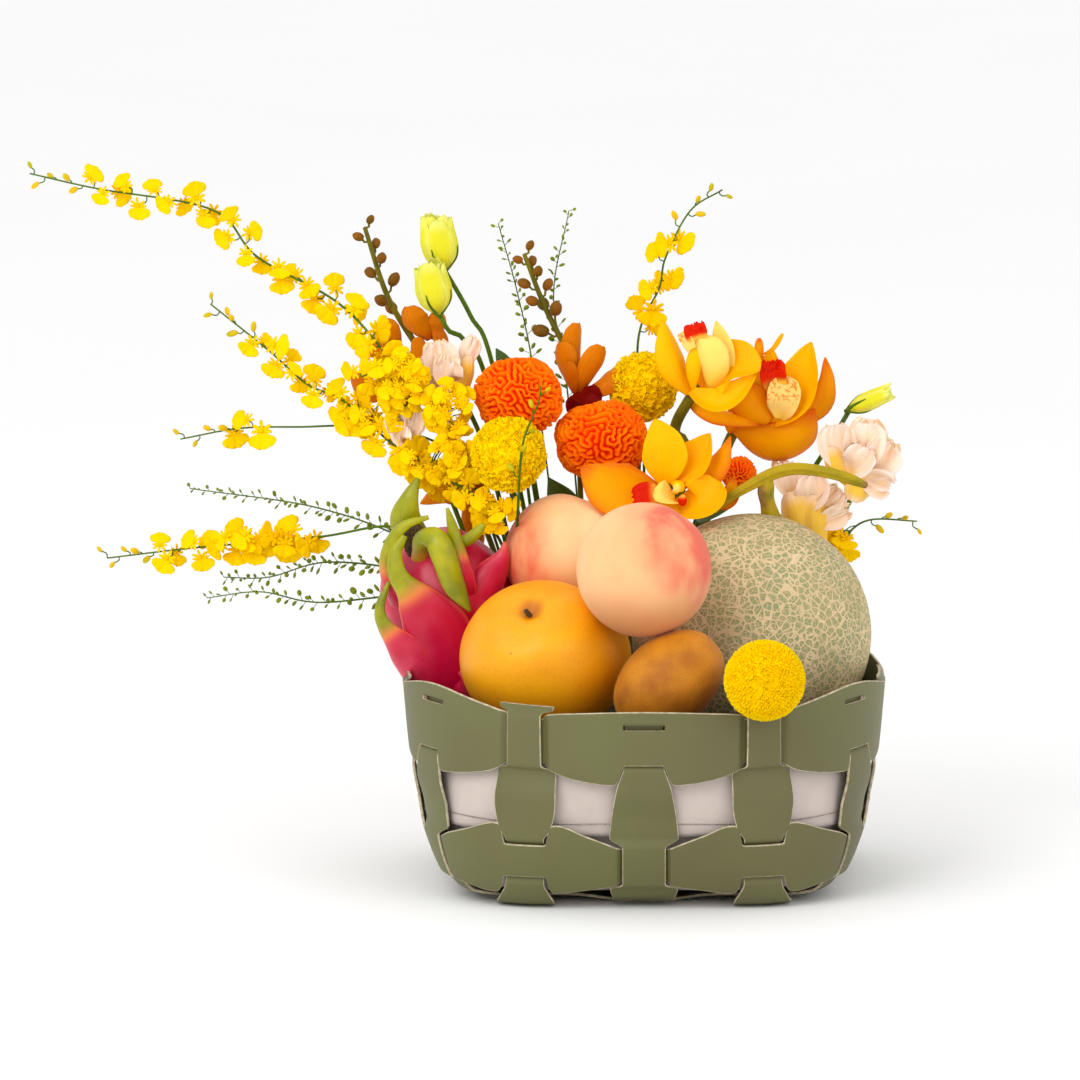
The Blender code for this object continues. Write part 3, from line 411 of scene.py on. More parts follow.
def veins_group():
    """Fine lines that run along a petal, from its masks."""
    group = bpy.data.node_groups.new("Veins", "ShaderNodeTree")
    given, result = add_sockets(group, (("Lines", "Float", 9.0), ("Waver", "Float", 1.2)),
                                (("Mask", "Float"),))
    across, along = attribute(group, "across"), attribute(group, "along")
    lines = add_node(group, "ShaderNodeMath", {0: across, 1: given["Lines"]}, operation="MULTIPLY").outputs[0]
    place = add_node(group, "ShaderNodeCombineXYZ", {"X": lines, "Y": along}).outputs["Vector"]
    cloud = noise_of(group, place, given["Waver"], 3.0)["Fac"]
    group.links.new(stretched(group, cloud, 0.4, 0.7), result["Mask"])
    return group


def grain_group():
    """Fine pebbled height."""
    group = bpy.data.node_groups.new("Grain", "ShaderNodeTree")
    given, result = add_sockets(group, (("Scale", "Float", 900.0), ("Cells", "Float", 0.5)),
                                (("Height", "Float"),))
    place = object_place(group)
    cells = add_node(group, "ShaderNodeTexVoronoi", {"Vector": place, "Scale": given["Scale"]})
    cloud = noise_of(group, place, given["Scale"], 3.0)["Fac"]
    height = add_node(group, "ShaderNodeMix", {"Factor": given["Cells"], "A": cloud,
                                               "B": cells.outputs["Distance"]})
    group.links.new(height.outputs["Result"], result["Height"])
    return group


BLOTCHES = blotches_group()
VEINS = veins_group()
GRAIN = grain_group()


class Finish:
    """Principled material under construction."""

    def __init__(self, name, roughness, **sockets):
        self.material = bpy.data.materials.new(name)
        self.material.use_nodes = True
        self.tree = self.material.node_tree
        self.shader = self.tree.nodes["Principled BSDF"]
        for label, value in {"Roughness": roughness, **sockets}.items():
            self.shader.inputs[label.replace("_", " ")].default_value = value

    def group(self, tree, **inputs):
        """Outputs of a shared node group with its inputs set or linked."""
        return add_node(self.tree, "ShaderNodeGroup", inputs, node_tree=tree).outputs

    def blotches(self, first, second, scale, detail=4.0, low=0.35, high=0.65, stretch=(1, 1, 1)):
        """Two screen colours in soft patches; the second may be a share of the first."""
        first = linear(*first)
        second = linear(*second) if isinstance(second, tuple) else tuple(c * second for c in first)
        return self.group(BLOTCHES, First=first, Second=second, Scale=scale, Detail=detail, From=low, To=high,
                          Stretch=stretch)["Colour"]

    def spots(self, scale, detail, low, high, stretch=(1, 1, 1)):
        """Mask of soft patches."""
        return self.group(BLOTCHES, Scale=scale, Detail=detail, From=low, To=high, Stretch=stretch)["Mask"]

    def veins(self, lines, waver):
        """Mask of fine lines along a petal."""
        return self.group(VEINS, Lines=lines, Waver=waver)["Mask"]

    def grain(self, scale, cells):
        """Height of a fine pebbled surface."""
        return self.group(GRAIN, Scale=scale, Cells=cells)["Height"]

    def mask(self, name, low=0.0, high=1.0):
        """Mesh attribute stretched from low and high to 0 and 1."""
        return stretched(self.tree, attribute(self.tree, name), low, high, "SMOOTHSTEP")

    def mix(self, factor, first, second):
        """Colour between first, a socket, and second, a socket or a screen colour."""
        second = linear(*second) if isinstance(second, tuple) else second
        return add_node(self.tree, "ShaderNodeMix", {"Factor": factor, 6: first, 7: second},
                        data_type="RGBA").outputs[2]

    def sum(self, first, second, operation="ADD"):
        """Arithmetic on two values."""
        return add_node(self.tree, "ShaderNodeMath", {0: first, 1: second}, operation=operation).outputs[0]

    def times(self, first, second):
        """Product of two values."""
        return self.sum(first, second, "MULTIPLY")

    def colour(self, socket):
        """Link the base colour."""
        self.tree.links.new(socket, self.shader.inputs["Base Color"])

    def bump(self, height, depth, strength=1.0):
        """Bump of a depth in millimetres."""
        node = add_node(self.tree, "ShaderNodeBump", {"Height": height, "Strength": strength,
                                                      "Distance": depth * MM})
        self.tree.links.new(node.outputs["Normal"], self.shader.inputs["Normal"])


def plain_finish(name, roughness, first, second, scale, detail, grain=None, **sockets):
    """Two colours in soft patches, and a pebbled bump: grain is (scale, cells, depth, strength)."""
    look = Finish(name, roughness, **sockets)
    look.colour(look.blotches(first, second, scale, detail))
    if grain:
        look.bump(look.grain(*grain[:2]), *grain[2:])
    return look.material


def canvas():
    """Plain woven cloth."""
    look = Finish("liner canvas", 0.92, Sheen_Weight=0.15)
    threads = [add_node(look.tree, "ShaderNodeTexWave", {
        "Vector": object_place(look.tree), "Scale": 420.0, "Distortion": 1.5, "Detail": 1.0,
        "Detail Scale": 2.0}, bands_direction=way).outputs["Fac"] for way in ("X", "Z")]
    patches = look.blotches((204, 190, 182), (198, 184, 176), 60.0)
    weave = look.times(threads[0], threads[1])
    look.colour(look.mix(look.times(weave, 0.25), patches, (180, 166, 156)))
    look.bump(weave, 0.12, 0.4)
    return look.material


def melon_rind():
    """Raised corky net over green skin."""
    look = Finish("melon rind", 0.72, Specular_IOR_Level=0.3)
    place = object_place(look.tree)
    drift = noise_of(look.tree, place, 60.0, 1.0)["Color"]
    place = add_node(look.tree, "ShaderNodeMix", {"Factor": 0.0025, 4: place, 5: drift},
                     data_type="VECTOR").outputs[1]
    lines = [add_node(look.tree, "ShaderNodeTexVoronoi", {"Vector": place, "Scale": scale},
                      feature="DISTANCE_TO_EDGE").outputs["Distance"] for scale in (190.0, 330.0)]
    reach = look.sum(look.times(look.spots(28.0, 3.0, 0.35, 0.7), 0.02), 0.085)
    coarse = look.sum(lines[0], reach, "DIVIDE")
    fine = look.times(look.sum(lines[1], reach, "DIVIDE"), 1.7)
    net = look.sum(look.sum(coarse, fine, "MINIMUM"), 1.0, "SUBTRACT")
    net = stretched(look.tree, net, -0.35, 0.35, "SMOOTHSTEP")
    skin = look.blotches((144, 151, 108), (158, 152, 98), 30.0, 3.0)
    cork = look.blotches((221, 195, 151), (205, 181, 137), 45.0)
    look.colour(look.mix(net, cork, skin))
    look.bump(look.sum(1.0, net, "SUBTRACT"), 0.5, 0.8)
    return look.material


def melon_stalk():
    """Ridged dry stalk."""
    look = Finish("melon stalk", 0.6, Specular_IOR_Level=0.12)
    patches = look.blotches((180, 152, 26), (122, 118, 26), 90.0, 4.0, 0.4, 0.7, (0.3, 1, 1))
    rough = look.blotches((126, 92, 52), (160, 128, 80), 300.0)
    look.colour(look.mix(look.mask("scar"), patches, rough))
    look.bump(look.grain(500.0, 0.3), 0.25, 0.6)
    return look.material


def peach_skin(name, pale, warm, blush, amount):
    """Downy skin with a red blush from the blush mask, and painted shade on the underside from the under
    mask.
    """
    look = Finish(name, 0.6, Specular_IOR_Level=0.25, Sheen_Weight=0.08, Sheen_Roughness=0.4)
    ground = look.blotches(pale, warm, 18.0, 3.0, 0.3, 0.75)
    # painted shade: the under mask darkens the underside towards brown
    ground = look.mix(look.times(look.mask("under"), 0.75), ground, (206, 134, 78))
    streaks = look.spots(48.0, 6.0, 0.38, 0.62, (1.0, 1.0, 0.5))
    flush = look.times(look.mask("blush"), look.sum(look.times(streaks, 0.6), 0.4))
    look.colour(look.mix(look.times(flush, amount), ground, blush))
    look.bump(look.grain(1800.0, 0.2), 0.05, 0.3)
    return look.material


def pear_skin():
    """Golden skin with small dark dots, and painted shade in the stalk hollow."""
    look = Finish("pear skin", 0.42, Specular_IOR_Level=0.3)
    ground = look.blotches((252, 176, 14), (240, 150, 4), 14.0, 3.0, 0.3, 0.7)
    dots = add_node(look.tree, "ShaderNodeTexVoronoi", {"Vector": object_place(look.tree), "Scale": 75.0})
    dots = stretched(look.tree, dots.outputs["Distance"], 0.06, 0.03)
    rare = look.spots(90.0, 1.0, 0.54, 0.6)
    freckles = look.spots(420.0, 2.0, 0.5, 0.72)
    fine = look.mix(look.times(freckles, 0.22), ground, (214, 120, 10))
    spotted = look.mix(look.times(look.times(dots, rare), 0.8), fine, (110, 60, 15))
    # painted shade: the hollow mask darkens the dimple round the stalk
    look.colour(look.mix(look.mask("hollow"), spotted, (196, 112, 8)))
    look.bump(look.grain(700.0, 0.4), 0.05, 0.3)
    return look.material


def kiwi_skin():
    """Brown felted skin."""
    look = Finish("kiwi skin", 0.6, Specular_IOR_Level=0.3, Sheen_Weight=0.1, Sheen_Roughness=0.35)
    ground = look.blotches((208, 132, 18), (166, 94, 6), 40.0, 6.0)
    fuzz = look.spots(1100.0, 2.0, 0.45, 0.65)
    look.colour(look.mix(look.times(fuzz, 0.3), ground, (146, 86, 18)))
    look.bump(look.grain(1500.0, 0.5), 0.12, 0.6)
    return look.material


def dragon_skin():
    """Pink skin whose scales turn green at the tips."""
    look = Finish("dragon fruit skin", 0.3, Specular_IOR_Level=0.35)
    pink = look.blotches((192, 0, 54), (230, 76, 104), 20.0, 3.0, 0.45, 0.8)
    edge = look.sum(look.mask("across", 0.86, 1.0), look.mask("across", -0.86, -1.0), "MAXIMUM")
    pink = look.mix(look.times(edge, 0.6), pink, (236, 92, 62))
    green = look.blotches((172, 168, 2), (116, 124, 6), 50.0)
    lines = look.veins(7.0, 1.4)
    green = look.mix(look.times(lines, 0.2), green, (190, 188, 16))
    orange = look.mix(look.mask("tip", 0.0, 0.5), pink, (232, 124, 62))
    look.colour(look.mix(look.mask("tip", 0.25, 0.85), orange, green))
    look.bump(lines, 0.15, 0.4)
    return look.material


def petal_finish(name, face, base, roughness=0.55, back=None, lines=8.0, line_colour=None, depth=0.12,
                 base_reach=0.35, deep=None, rim=None, shine=0.06, speckle=None, crease_shade=None):
    """Petal: its colour changes from base to rim, with veins, a deeper tone, painted shade in the creases and
    another back.
    """
    look = Finish(name, roughness, Specular_IOR_Level=shine)
    colour = look.mix(look.mask("along", base_reach, 0.0), look.blotches(face, 0.94, 120.0, 3.0), base)
    lines = look.veins(lines, 1.3)
    if speckle:
        spots = look.spots(420.0, 2.0, 0.54, 0.6)
        colour = look.mix(look.times(spots, look.mask("along", 0.35, 0.6)), colour, speckle)
    if rim:
        side = look.sum(attribute(look.tree, "across"), 4.0, "POWER")
        colour = look.mix(look.sum(side, look.mask("along", 0.75, 1.0), "MAXIMUM"), colour, rim)
    # painted shade: the creases of the frill take the crease colour
    if crease_shade:
        colour = look.mix(look.times(look.mask("fold", 0.5, 0.1), 0.55), colour, crease_shade)
    if line_colour:
        colour = look.mix(look.times(lines, 0.5), colour, line_colour)
    if back:
        colour = look.mix(look.mask("back"), colour, back)
    look.colour(look.mix(look.mask("tone"), colour, deep or face))
    look.bump(lines, depth, 0.5)
    return look.material


def stem_finish(name, first, second):
    """Green stem, bud or seed."""
    return plain_finish(name, 0.5, first, second, 70.0, 4.0, (600.0, 0.3, 0.08, 0.4), Specular_IOR_Level=0.12)


def celosia_finish():
    """Velvet folds, with painted shade as a deeper red in the hollows."""
    look = Finish("celosia folds", 0.7, Specular_IOR_Level=0.06)
    ridge = look.blotches((255, 132, 0), (255, 104, 0), 90.0, 3.0)
    # painted shade: the hollows of the folds turn deeper red
    look.colour(look.mix(look.mask("fold", 0.5, 0.0), ridge, (242, 50, 0)))
    look.bump(look.grain(900.0, 0.5), 0.15, 0.5)
    return look.material


FINISHES = {
    "leather": plain_finish("strap leather", 0.5, (102, 103, 60), (98, 94, 58), 9.0, 2.0,
                            (1500.0, 0.6, 0.04, 0.3), Specular_IOR_Level=0.35),
    "edge": plain_finish("strap cut edge", 0.75, (205, 190, 160), (160, 150, 125), 260.0, 3.0,
                         (2500.0, 0.2, 0.1, 0.6)),
    "canvas": canvas(),
    "thread": plain_finish("liner thread", 0.8, (160, 148, 140), (130, 118, 112), 400.0, 4.0),
    "rind": melon_rind(),
    "stalk": melon_stalk(),
    "peach": peach_skin("peach skin", (246, 200, 148), (242, 174, 118), (226, 92, 74), 0.9),
    "peach_warm": peach_skin("warm peach skin", (252, 212, 158), (248, 184, 122), (230, 90, 60), 1.0),
    "pear": pear_skin(),
    "kiwi": kiwi_skin(),
    "dragon": dragon_skin(),
    "crown": plain_finish("dragon fruit crown", 0.9, (96, 72, 34), (48, 34, 18), 500.0, 6.0,
                          (900.0, 0.7, 0.6, 1.0)),
    "celosia": celosia_finish(),
    # packing: dark brown-black, painted shade for the dark gaps between the fruit
    "packing": plain_finish("packing", 0.9, (66, 62, 36), (40, 34, 20), 80.0, 5.0, (200.0, 0.6, 1.5, 1.0)),
    "mum": petal_finish("pompon petal", (254, 216, 0), (254, 206, 0), 0.7, deep=(253, 204, 0), shine=0.03),
    "gold": petal_finish("gold orchid petal", (253, 190, 0), (252, 176, 0), 0.42, back=(248, 156, 0),
                         line_colour=(252, 174, 0), deep=(250, 156, 0)),
    "gold_edge": petal_finish("gold orchid outer petal", (250, 166, 0), (236, 146, 0), 0.42,
                              back=(240, 146, 0), line_colour=(246, 160, 0), rim=(226, 86, 20),
                              deep=(226, 128, 0)),
    "gold_cup": petal_finish("gold orchid cup", (255, 220, 112), (255, 210, 10), 0.5, back=(255, 216, 96),
                             line_colour=(255, 212, 80), deep=(255, 208, 60), base_reach=0.55),
    "lip": petal_finish("orchid lip", (222, 36, 0), (255, 204, 70), 0.5, base_reach=0.4,
                        speckle=(196, 14, 2), deep=(194, 14, 2)),
    "lip_spotted": petal_finish("spotted orchid lip", (255, 224, 140), (255, 214, 80), 0.5,
                                speckle=(236, 74, 10), deep=(255, 208, 90)),
    "bronze": petal_finish("bronze orchid petal", (222, 129, 4), (176, 76, 4), 0.42, back=(190, 96, 8),
                           line_colour=(192, 92, 4), deep=(172, 69, 2)),
    "bronze_lip": petal_finish("dark orchid lip", (136, 10, 4), (170, 30, 4), 0.45, deep=(90, 6, 4)),
    # cream petals: their crease colour is painted shade
    "cream": petal_finish("cream petal", (254, 231, 209), (255, 204, 70), 0.65, back=(254, 226, 190),
                          lines=12.0, line_colour=(253, 212, 178), base_reach=0.55, rim=(254, 232, 222),
                          deep=(254, 220, 162), depth=0.15, crease_shade=(252, 208, 140)),
    "cream_tube": petal_finish("cream tube petal", (252, 206, 80), (236, 184, 20), 0.65,
                               back=(244, 200, 70), line_colour=(248, 190, 54), base_reach=0.6,
                               rim=(254, 224, 196), deep=(232, 190, 40), depth=0.15),
    "bud": petal_finish("bud petal", (230, 218, 36), (150, 170, 10), 0.5, lines=12.0,
                        line_colour=(206, 212, 40), deep=(214, 216, 60), rim=(236, 234, 130)),
    "dancing": petal_finish("dancing orchid petal", (254, 208, 0), (246, 172, 0), 0.65, lines=4.0,
                            base_reach=0.15, deep=(254, 198, 0), shine=0.03),
    "dancing_bud": stem_finish("dancing orchid bud", (240, 188, 4), (176, 172, 10)),
    "bronze_bud": stem_finish("bronze orchid bud", (138, 82, 8), (100, 74, 10)),
    "stem": stem_finish("flower stem", (90, 122, 16), (62, 92, 16)),
    "olive_stem": stem_finish("olive stem", (120, 110, 10), (92, 88, 16)),
    "sprig": stem_finish("sprig seeds", (128, 146, 12), (104, 122, 16)),
    "leaf": petal_finish("leaf", (66, 98, 26), (52, 84, 20), 0.45, lines=10.0, line_colour=(96, 124, 46),
                         shine=0.4),
}


def place_copies_tree():
    """Geometry nodes that add copies of a template on another object's points."""
    tree = bpy.data.node_groups.new("Place copies", "GeometryNodeTree")
    given, result = add_sockets(tree, (
        ("Geometry", "Geometry"), ("Spots", "Object"), ("Template", "Object"), ("Size", "Float"),
        ("Size Spread", "Float"), ("Seed", "Int"), ("Finish", "Material")), (("Geometry", "Geometry"),))
    spots = add_node(tree, "GeometryNodeObjectInfo", {"Object": given["Spots"]}).outputs["Geometry"]
    template = add_node(tree, "GeometryNodeObjectInfo", {"Object": given["Template"]}).outputs["Geometry"]
    turn = add_node(tree, "GeometryNodeInputNamedAttribute", {"Name": "turn"}, data_type="FLOAT_VECTOR")
    size = add_node(tree, "GeometryNodeInputNamedAttribute", {"Name": "size"}, data_type="FLOAT")
    rotation = add_node(tree, "FunctionNodeEulerToRotation", {"Euler": turn.outputs["Attribute"]})
    low, high = (add_node(tree, "ShaderNodeMath", {0: 1.0, 1: given["Size Spread"]}, operation=change)
                 for change in ("SUBTRACT", "ADD"))
    random_size = add_node(tree, "FunctionNodeRandomValue", {
        2: low.outputs[0], 3: high.outputs[0], "Seed": given["Seed"]}, data_type="FLOAT")
    scale = random_size.outputs[1]
    for share in (given["Size"], size.outputs["Attribute"]):
        scale = add_node(tree, "ShaderNodeMath", {0: scale, 1: share}, operation="MULTIPLY").outputs[0]
    copies = add_node(tree, "GeometryNodeInstanceOnPoints", {
        "Points": spots, "Instance": template, "Rotation": rotation.outputs["Rotation"],
        "Scale": scale}).outputs["Instances"]
    solid = add_node(tree, "GeometryNodeRealizeInstances", {"Geometry": copies}).outputs["Geometry"]
    painted = add_node(tree, "GeometryNodeSetMaterial", {"Geometry": solid, "Material": given["Finish"]})
    joined = add_node(tree, "GeometryNodeJoinGeometry")
    tree.links.new(given["Geometry"], joined.inputs[0])
    tree.links.new(painted.outputs["Geometry"], joined.inputs[0])
    tree.links.new(joined.outputs[0], result["Geometry"])
    return tree


PLACE_COPIES = place_copies_tree()


def grow(obj, spots, template, finish, size=1.0, spread=0.12, seed=1):
    """Join copies of a template shape to a piece; a spot is (place, turn matrix, size, tone)."""
    data = bpy.data.meshes.new("spots")
    data.from_pydata([tuple(np.array(place) * MM) for place, _, _, _ in spots], [], [])
    turns = np.array([Matrix(turn).to_euler()[:] for _, turn, _, _ in spots]).ravel()
    data.attributes.new("turn", "FLOAT_VECTOR", "POINT").data.foreach_set("vector", turns)
    for name, column in (("size", 2), ("tone", 3)):
        values = [float(spot[column]) for spot in spots]
        data.attributes.new(name, "FLOAT", "POINT").data.foreach_set("value", values)
    helper = new_object("spots", data)
    model = new_object("template", template.mesh("template", []))
    outward(model.data)
    mod = obj.modifiers.new("place copies", "NODES")
    mod.node_group = PLACE_COPIES
    values = {"Spots": helper, "Template": model, "Size": size, "Size Spread": spread, "Seed": seed,
              "Finish": FINISHES[finish]}
    for item in PLACE_COPIES.interface.items_tree:
        if item.item_type == "SOCKET" and item.in_out == "INPUT" and item.name in values:
            mod[item.identifier] = values[item.name]
    depsgraph = bpy.context.evaluated_depsgraph_get()
    data = bpy.data.meshes.new_from_object(obj.evaluated_get(depsgraph))
    obj.modifiers.clear()
    obj.data = data
    data.shade_smooth()
    for extra in (helper, model):
        bpy.data.objects.remove(extra, do_unlink=True)


def facing(way, roll=0.0, up=(0.0, 0.0, 1.0)):
    """Matrix that turns +Z to a direction, with a roll about it."""
    way = unit(way)
    side = np.cross(up, way)
    if np.linalg.norm(side) < 1e-3:
        side = np.cross((1.0, 0.0, 0.0), way)
    side = unit(side)
    base = Matrix(np.stack([side, np.cross(way, side), way], axis=1).tolist())
    return base @ Matrix.Rotation(roll, 3, "Z")


def wall_size(z):
    """Half width and corner radius of the wall at each height."""
    half = smooth_value(z, WALL)
    ease = np.clip(z / RIM_HEIGHT, 0, 1) ** CORNER_EASE
    return half, np.minimum(half, BASE_CORNER + (RIM_RADIUS - BASE_CORNER) * ease)


def section_points(q, half, corner):
    """Points and outward directions at lengths q round the wall, from the front middle."""
    flat = half - corner
    quarter = 2 * flat + 0.5 * math.pi * corner
    turn = np.floor(q / quarter + 0.5)
    q = q - turn * quarter
    angle = np.maximum(0.0, (np.abs(q) - flat) / corner)
    sign = np.where(q >= 0, 1.0, -1.0)
    x = np.where(angle > 0, sign * (flat + corner * np.sin(angle)), q)
    y = -flat - corner * np.cos(angle)
    out_x, out_y = sign * np.sin(angle), -np.cos(angle)
    c, s = np.cos(turn * math.pi / 2), np.sin(turn * math.pi / 2)
    flat_points = np.stack([x * c - y * s, x * s + y * c, 0 * x], axis=-1)
    return flat_points, np.stack([out_x * c - out_y * s, out_x * s + out_y * c, 0 * x], axis=-1)


def wall_points(q_of, z, offset):
    """Points at heights z on the wall, moved outwards by the offset."""
    half, corner = wall_size(z)
    point, out = section_points(q_of(half, corner), half, corner)
    tilt = np.radians(smooth_value(z, WALL_TILT))[..., None]
    return point + UP * (z + LIFT)[..., None] + (out * np.cos(tilt) - UP * np.sin(tilt)) * offset[..., None]


def side_arc(side, half, corner):
    """Length along the wall from a side's middle to the sideways place."""
    flat = half - corner
    bend = np.arcsin(np.clip((abs(side) - flat) / corner, 0.0, 1.0))
    return np.where(abs(side) <= flat, side, np.sign(side) * (flat + corner * bend))


def crossing_arc(index, half, corner):
    """Length along the wall to crossing number index, 0 at the front middle."""
    side, place = divmod(index + 1, 3)
    quarter = 2 * (half - corner) + 0.5 * math.pi * corner
    return side * quarter + side_arc((place - 1) * SPACING, half, corner)


def strap_profile(columns):
    """Outline of a strap's section: (share of half width, shift, height) and which faces are cut edges."""
    outline = [(s, -s * CUT_ROUND, STRAP / 2) for s in np.linspace(-1, 1, columns)]
    for share in (1, -1):
        for way, angles in ((1, (30, 60, 90)), (-1, (90, 60, 30))):
            for angle in np.radians(angles):
                outline.append((share, share * CUT_ROUND * (math.sin(angle) - 1),
                                way * share * (STRAP / 2 - CUT_ROUND * (1 - math.cos(angle)))))
        if share == 1:
            outline += [(s, -s * CUT_ROUND, -STRAP / 2) for s in np.linspace(1, -1, columns)]
    count = len(outline)
    edge = [columns - 1 <= i < columns + 6 or i >= 2 * columns + 5 for i in range(count)]
    return np.array(outline), edge


def strap_piece(name, points, edge, closed):
    """Leather strap from rows of section points."""
    rows, columns = points.shape[:2]
    shape = Shape()
    faces = grid_faces(rows, columns, closed, True)
    slots = [int(edge[i % columns]) for i in range(len(faces))]
    if not closed:
        faces += [tuple(range(columns)), tuple(reversed(range((rows - 1) * columns, rows * columns)))]
        slots += [1, 1]
    shape.add(points, faces, slots)
    return piece(name + "_strap", shape, [FINISHES["leather"], FINISHES["edge"]], name)


def build_strip(name, side, even, along_x):
    """Strip up one wall, under the base and up the wall opposite."""
    wall, base = (EVEN_WALL, EVEN_BASE) if even else (ODD_WALL, ODD_BASE)
    knots = [(reach, sign, BASE_HALF_WIDTH) for reach, sign in base]
    knots += [(BASE_HALF + z, sign, half_width) for z, sign, half_width in wall]
    top = knots[-1][0]
    t = np.linspace(-top, top, int(2 * top / STRAP_STEP) + 1)
    reach = np.abs(t)
    weave = smooth_value(reach, [(k[0], k[1]) for k in knots]) * WEAVE
    half_width = smooth_value(reach, [(k[0], k[2]) for k in knots])
    outline, edge = strap_profile(11)
    shift = outline[:, 0] * half_width[:, None] + outline[:, 1]
    offset = weave[:, None] + outline[:, 2]
    z = np.broadcast_to(np.maximum(reach - BASE_HALF, 0)[:, None], shift.shape)
    points = wall_points(lambda half, corner: side_arc(side, half, corner) + shift, z, offset)
    x = side + shift
    flat = BASE_HALF - BASE_CORNER
    rest = np.clip(BASE_CORNER ** 2 - np.maximum(0, np.abs(x) - flat) ** 2, 0, None)
    base_edge = np.where(np.abs(x) <= flat, BASE_HALF, flat + np.sqrt(rest))
    floor = np.stack([x, -reach[:, None] / BASE_HALF * base_edge, LIFT - offset], axis=-1)
    points = np.where((reach < BASE_HALF)[:, None, None], floor, points)
    points[t > 0, :, 1] *= -1
    if along_x:
        points = points[..., [1, 0, 2]]
    return strap_piece(name, points, edge, False)


def corner_rise(index, near):
    """Extra height of the rim at the four crossings beside each corner."""
    return CORNER_RISE * math.cos(math.pi / 2 * min(1.0, near / 62.0)) ** 1.5 if index % 6 else 0.0


def build_band(name, lows, highs, first_outside):
    """Ring that lies outside at every second crossing."""
    places = np.arange(0, SPACING, STRAP_STEP)
    outline, edge = strap_profile(13)
    rows = []
    for index in range(CROSSINGS):
        outside = (index % 2 == 0) == first_outside
        at = places if outside else SPACING - places
        low, high, weave = (smooth_value(at, knots) for knots in (lows, highs, WEAVE_BAND))
        for place, z0, z1, w in zip(places, low, high, weave * WEAVE):
            if first_outside:
                beside = (index, place) if outside else ((index + 1) % CROSSINGS, SPACING - place)
                z1 += corner_rise(*beside)
            z = (z0 + z1) / 2 + outline[:, 0] * (z1 - z0) / 2 + outline[:, 1]

            def q_of(half, corner, index=index, place=place):
                here, there = crossing_arc(index, half, corner), crossing_arc(index + 1, half, corner)
                middle = (there - here) / 2
                near = min(place, SPACING - place)
                reach = min(near, FREE_REACH)
                rest = max(0.0, near - FREE_REACH) / (SPACING / 2 - FREE_REACH) * (middle - FREE_REACH)
                return here + reach + rest if place <= SPACING / 2 else there - reach - rest
            rows.append(wall_points(q_of, z, w + outline[:, 2]))
    return strap_piece(name, np.array(rows), edge, True)


def cut_slots(band):
    """Flat slots under the rim."""
    half, corner = wall_size(np.array(SLOT_HEIGHT))
    group = bpy.data.collections.new("slots")
    bpy.context.scene.collection.children.link(group)
    for index in range(0, CROSSINGS, 2):
        point, out = section_points(crossing_arc(index, half, corner), half, corner)
        centre = point + out * WEAVE + UP * (SLOT_HEIGHT + LIFT + corner_rise(index, 0.0))
        across = np.cross(out, UP)
        shape = Shape()
        corners = [centre + across * SLOT_WIDTH / 2 * a + out * 4 * STRAP * b + UP * SLOT_OPENING / 2 * c
                   for a in (-1, 1) for b in (-1, 1) for c in (-1, 1)]
        faces = [(0, 1, 3, 2), (4, 6, 7, 5), (0, 4, 5, 1), (2, 3, 7, 6), (0, 2, 6, 4), (1, 5, 7, 3)]
        shape.add(corners, faces)
        data = shape.mesh("slot", [FINISHES["edge"]])
        outward(data)
        cutter = bpy.data.objects.new("slot", data)
        group.objects.link(cutter)
    mod = band.modifiers.new("slots", "BOOLEAN")
    mod.operation = "DIFFERENCE"
    mod.operand_type = "COLLECTION"
    mod.collection = group
    mod.material_mode = "TRANSFER"
    depsgraph = bpy.context.evaluated_depsgraph_get()
    data = bpy.data.meshes.new_from_object(band.evaluated_get(depsgraph))
    band.modifiers.clear()
    band.data = data
    for cutter in list(group.objects):
        bpy.data.objects.remove(cutter, do_unlink=True)
    bpy.data.collections.remove(group)


def build_straps():
    """Both bands and the six strips."""
    top = build_band("band_top", TOP_LOW, TOP_HIGH, True)
    cut_slots(top)
    build_band("band_low", LOW_LOW, LOW_HIGH, False)
    for place, word in ((-1, "left"), (0, "middle"), (1, "right")):
        build_strip(f"strip_front_back_{word}", place * SPACING, place == 0, False)
    for place, word in ((-1, "front"), (0, "middle"), (1, "rear")):
        build_strip(f"strip_left_right_{word}", place * SPACING, place != 0, True)


def liner_level(z, inset, steps):
    """Points round the wall at a height, set in from it."""
    half, corner = wall_size(np.array(z))
    half, corner = half - inset, np.minimum(half - inset, corner - inset)
    length = 4 * (2 * (half - corner) + 0.5 * math.pi * corner)
    points, out = section_points(length * np.arange(steps) / steps, half, corner)
    return points + UP * (z + LIFT), out


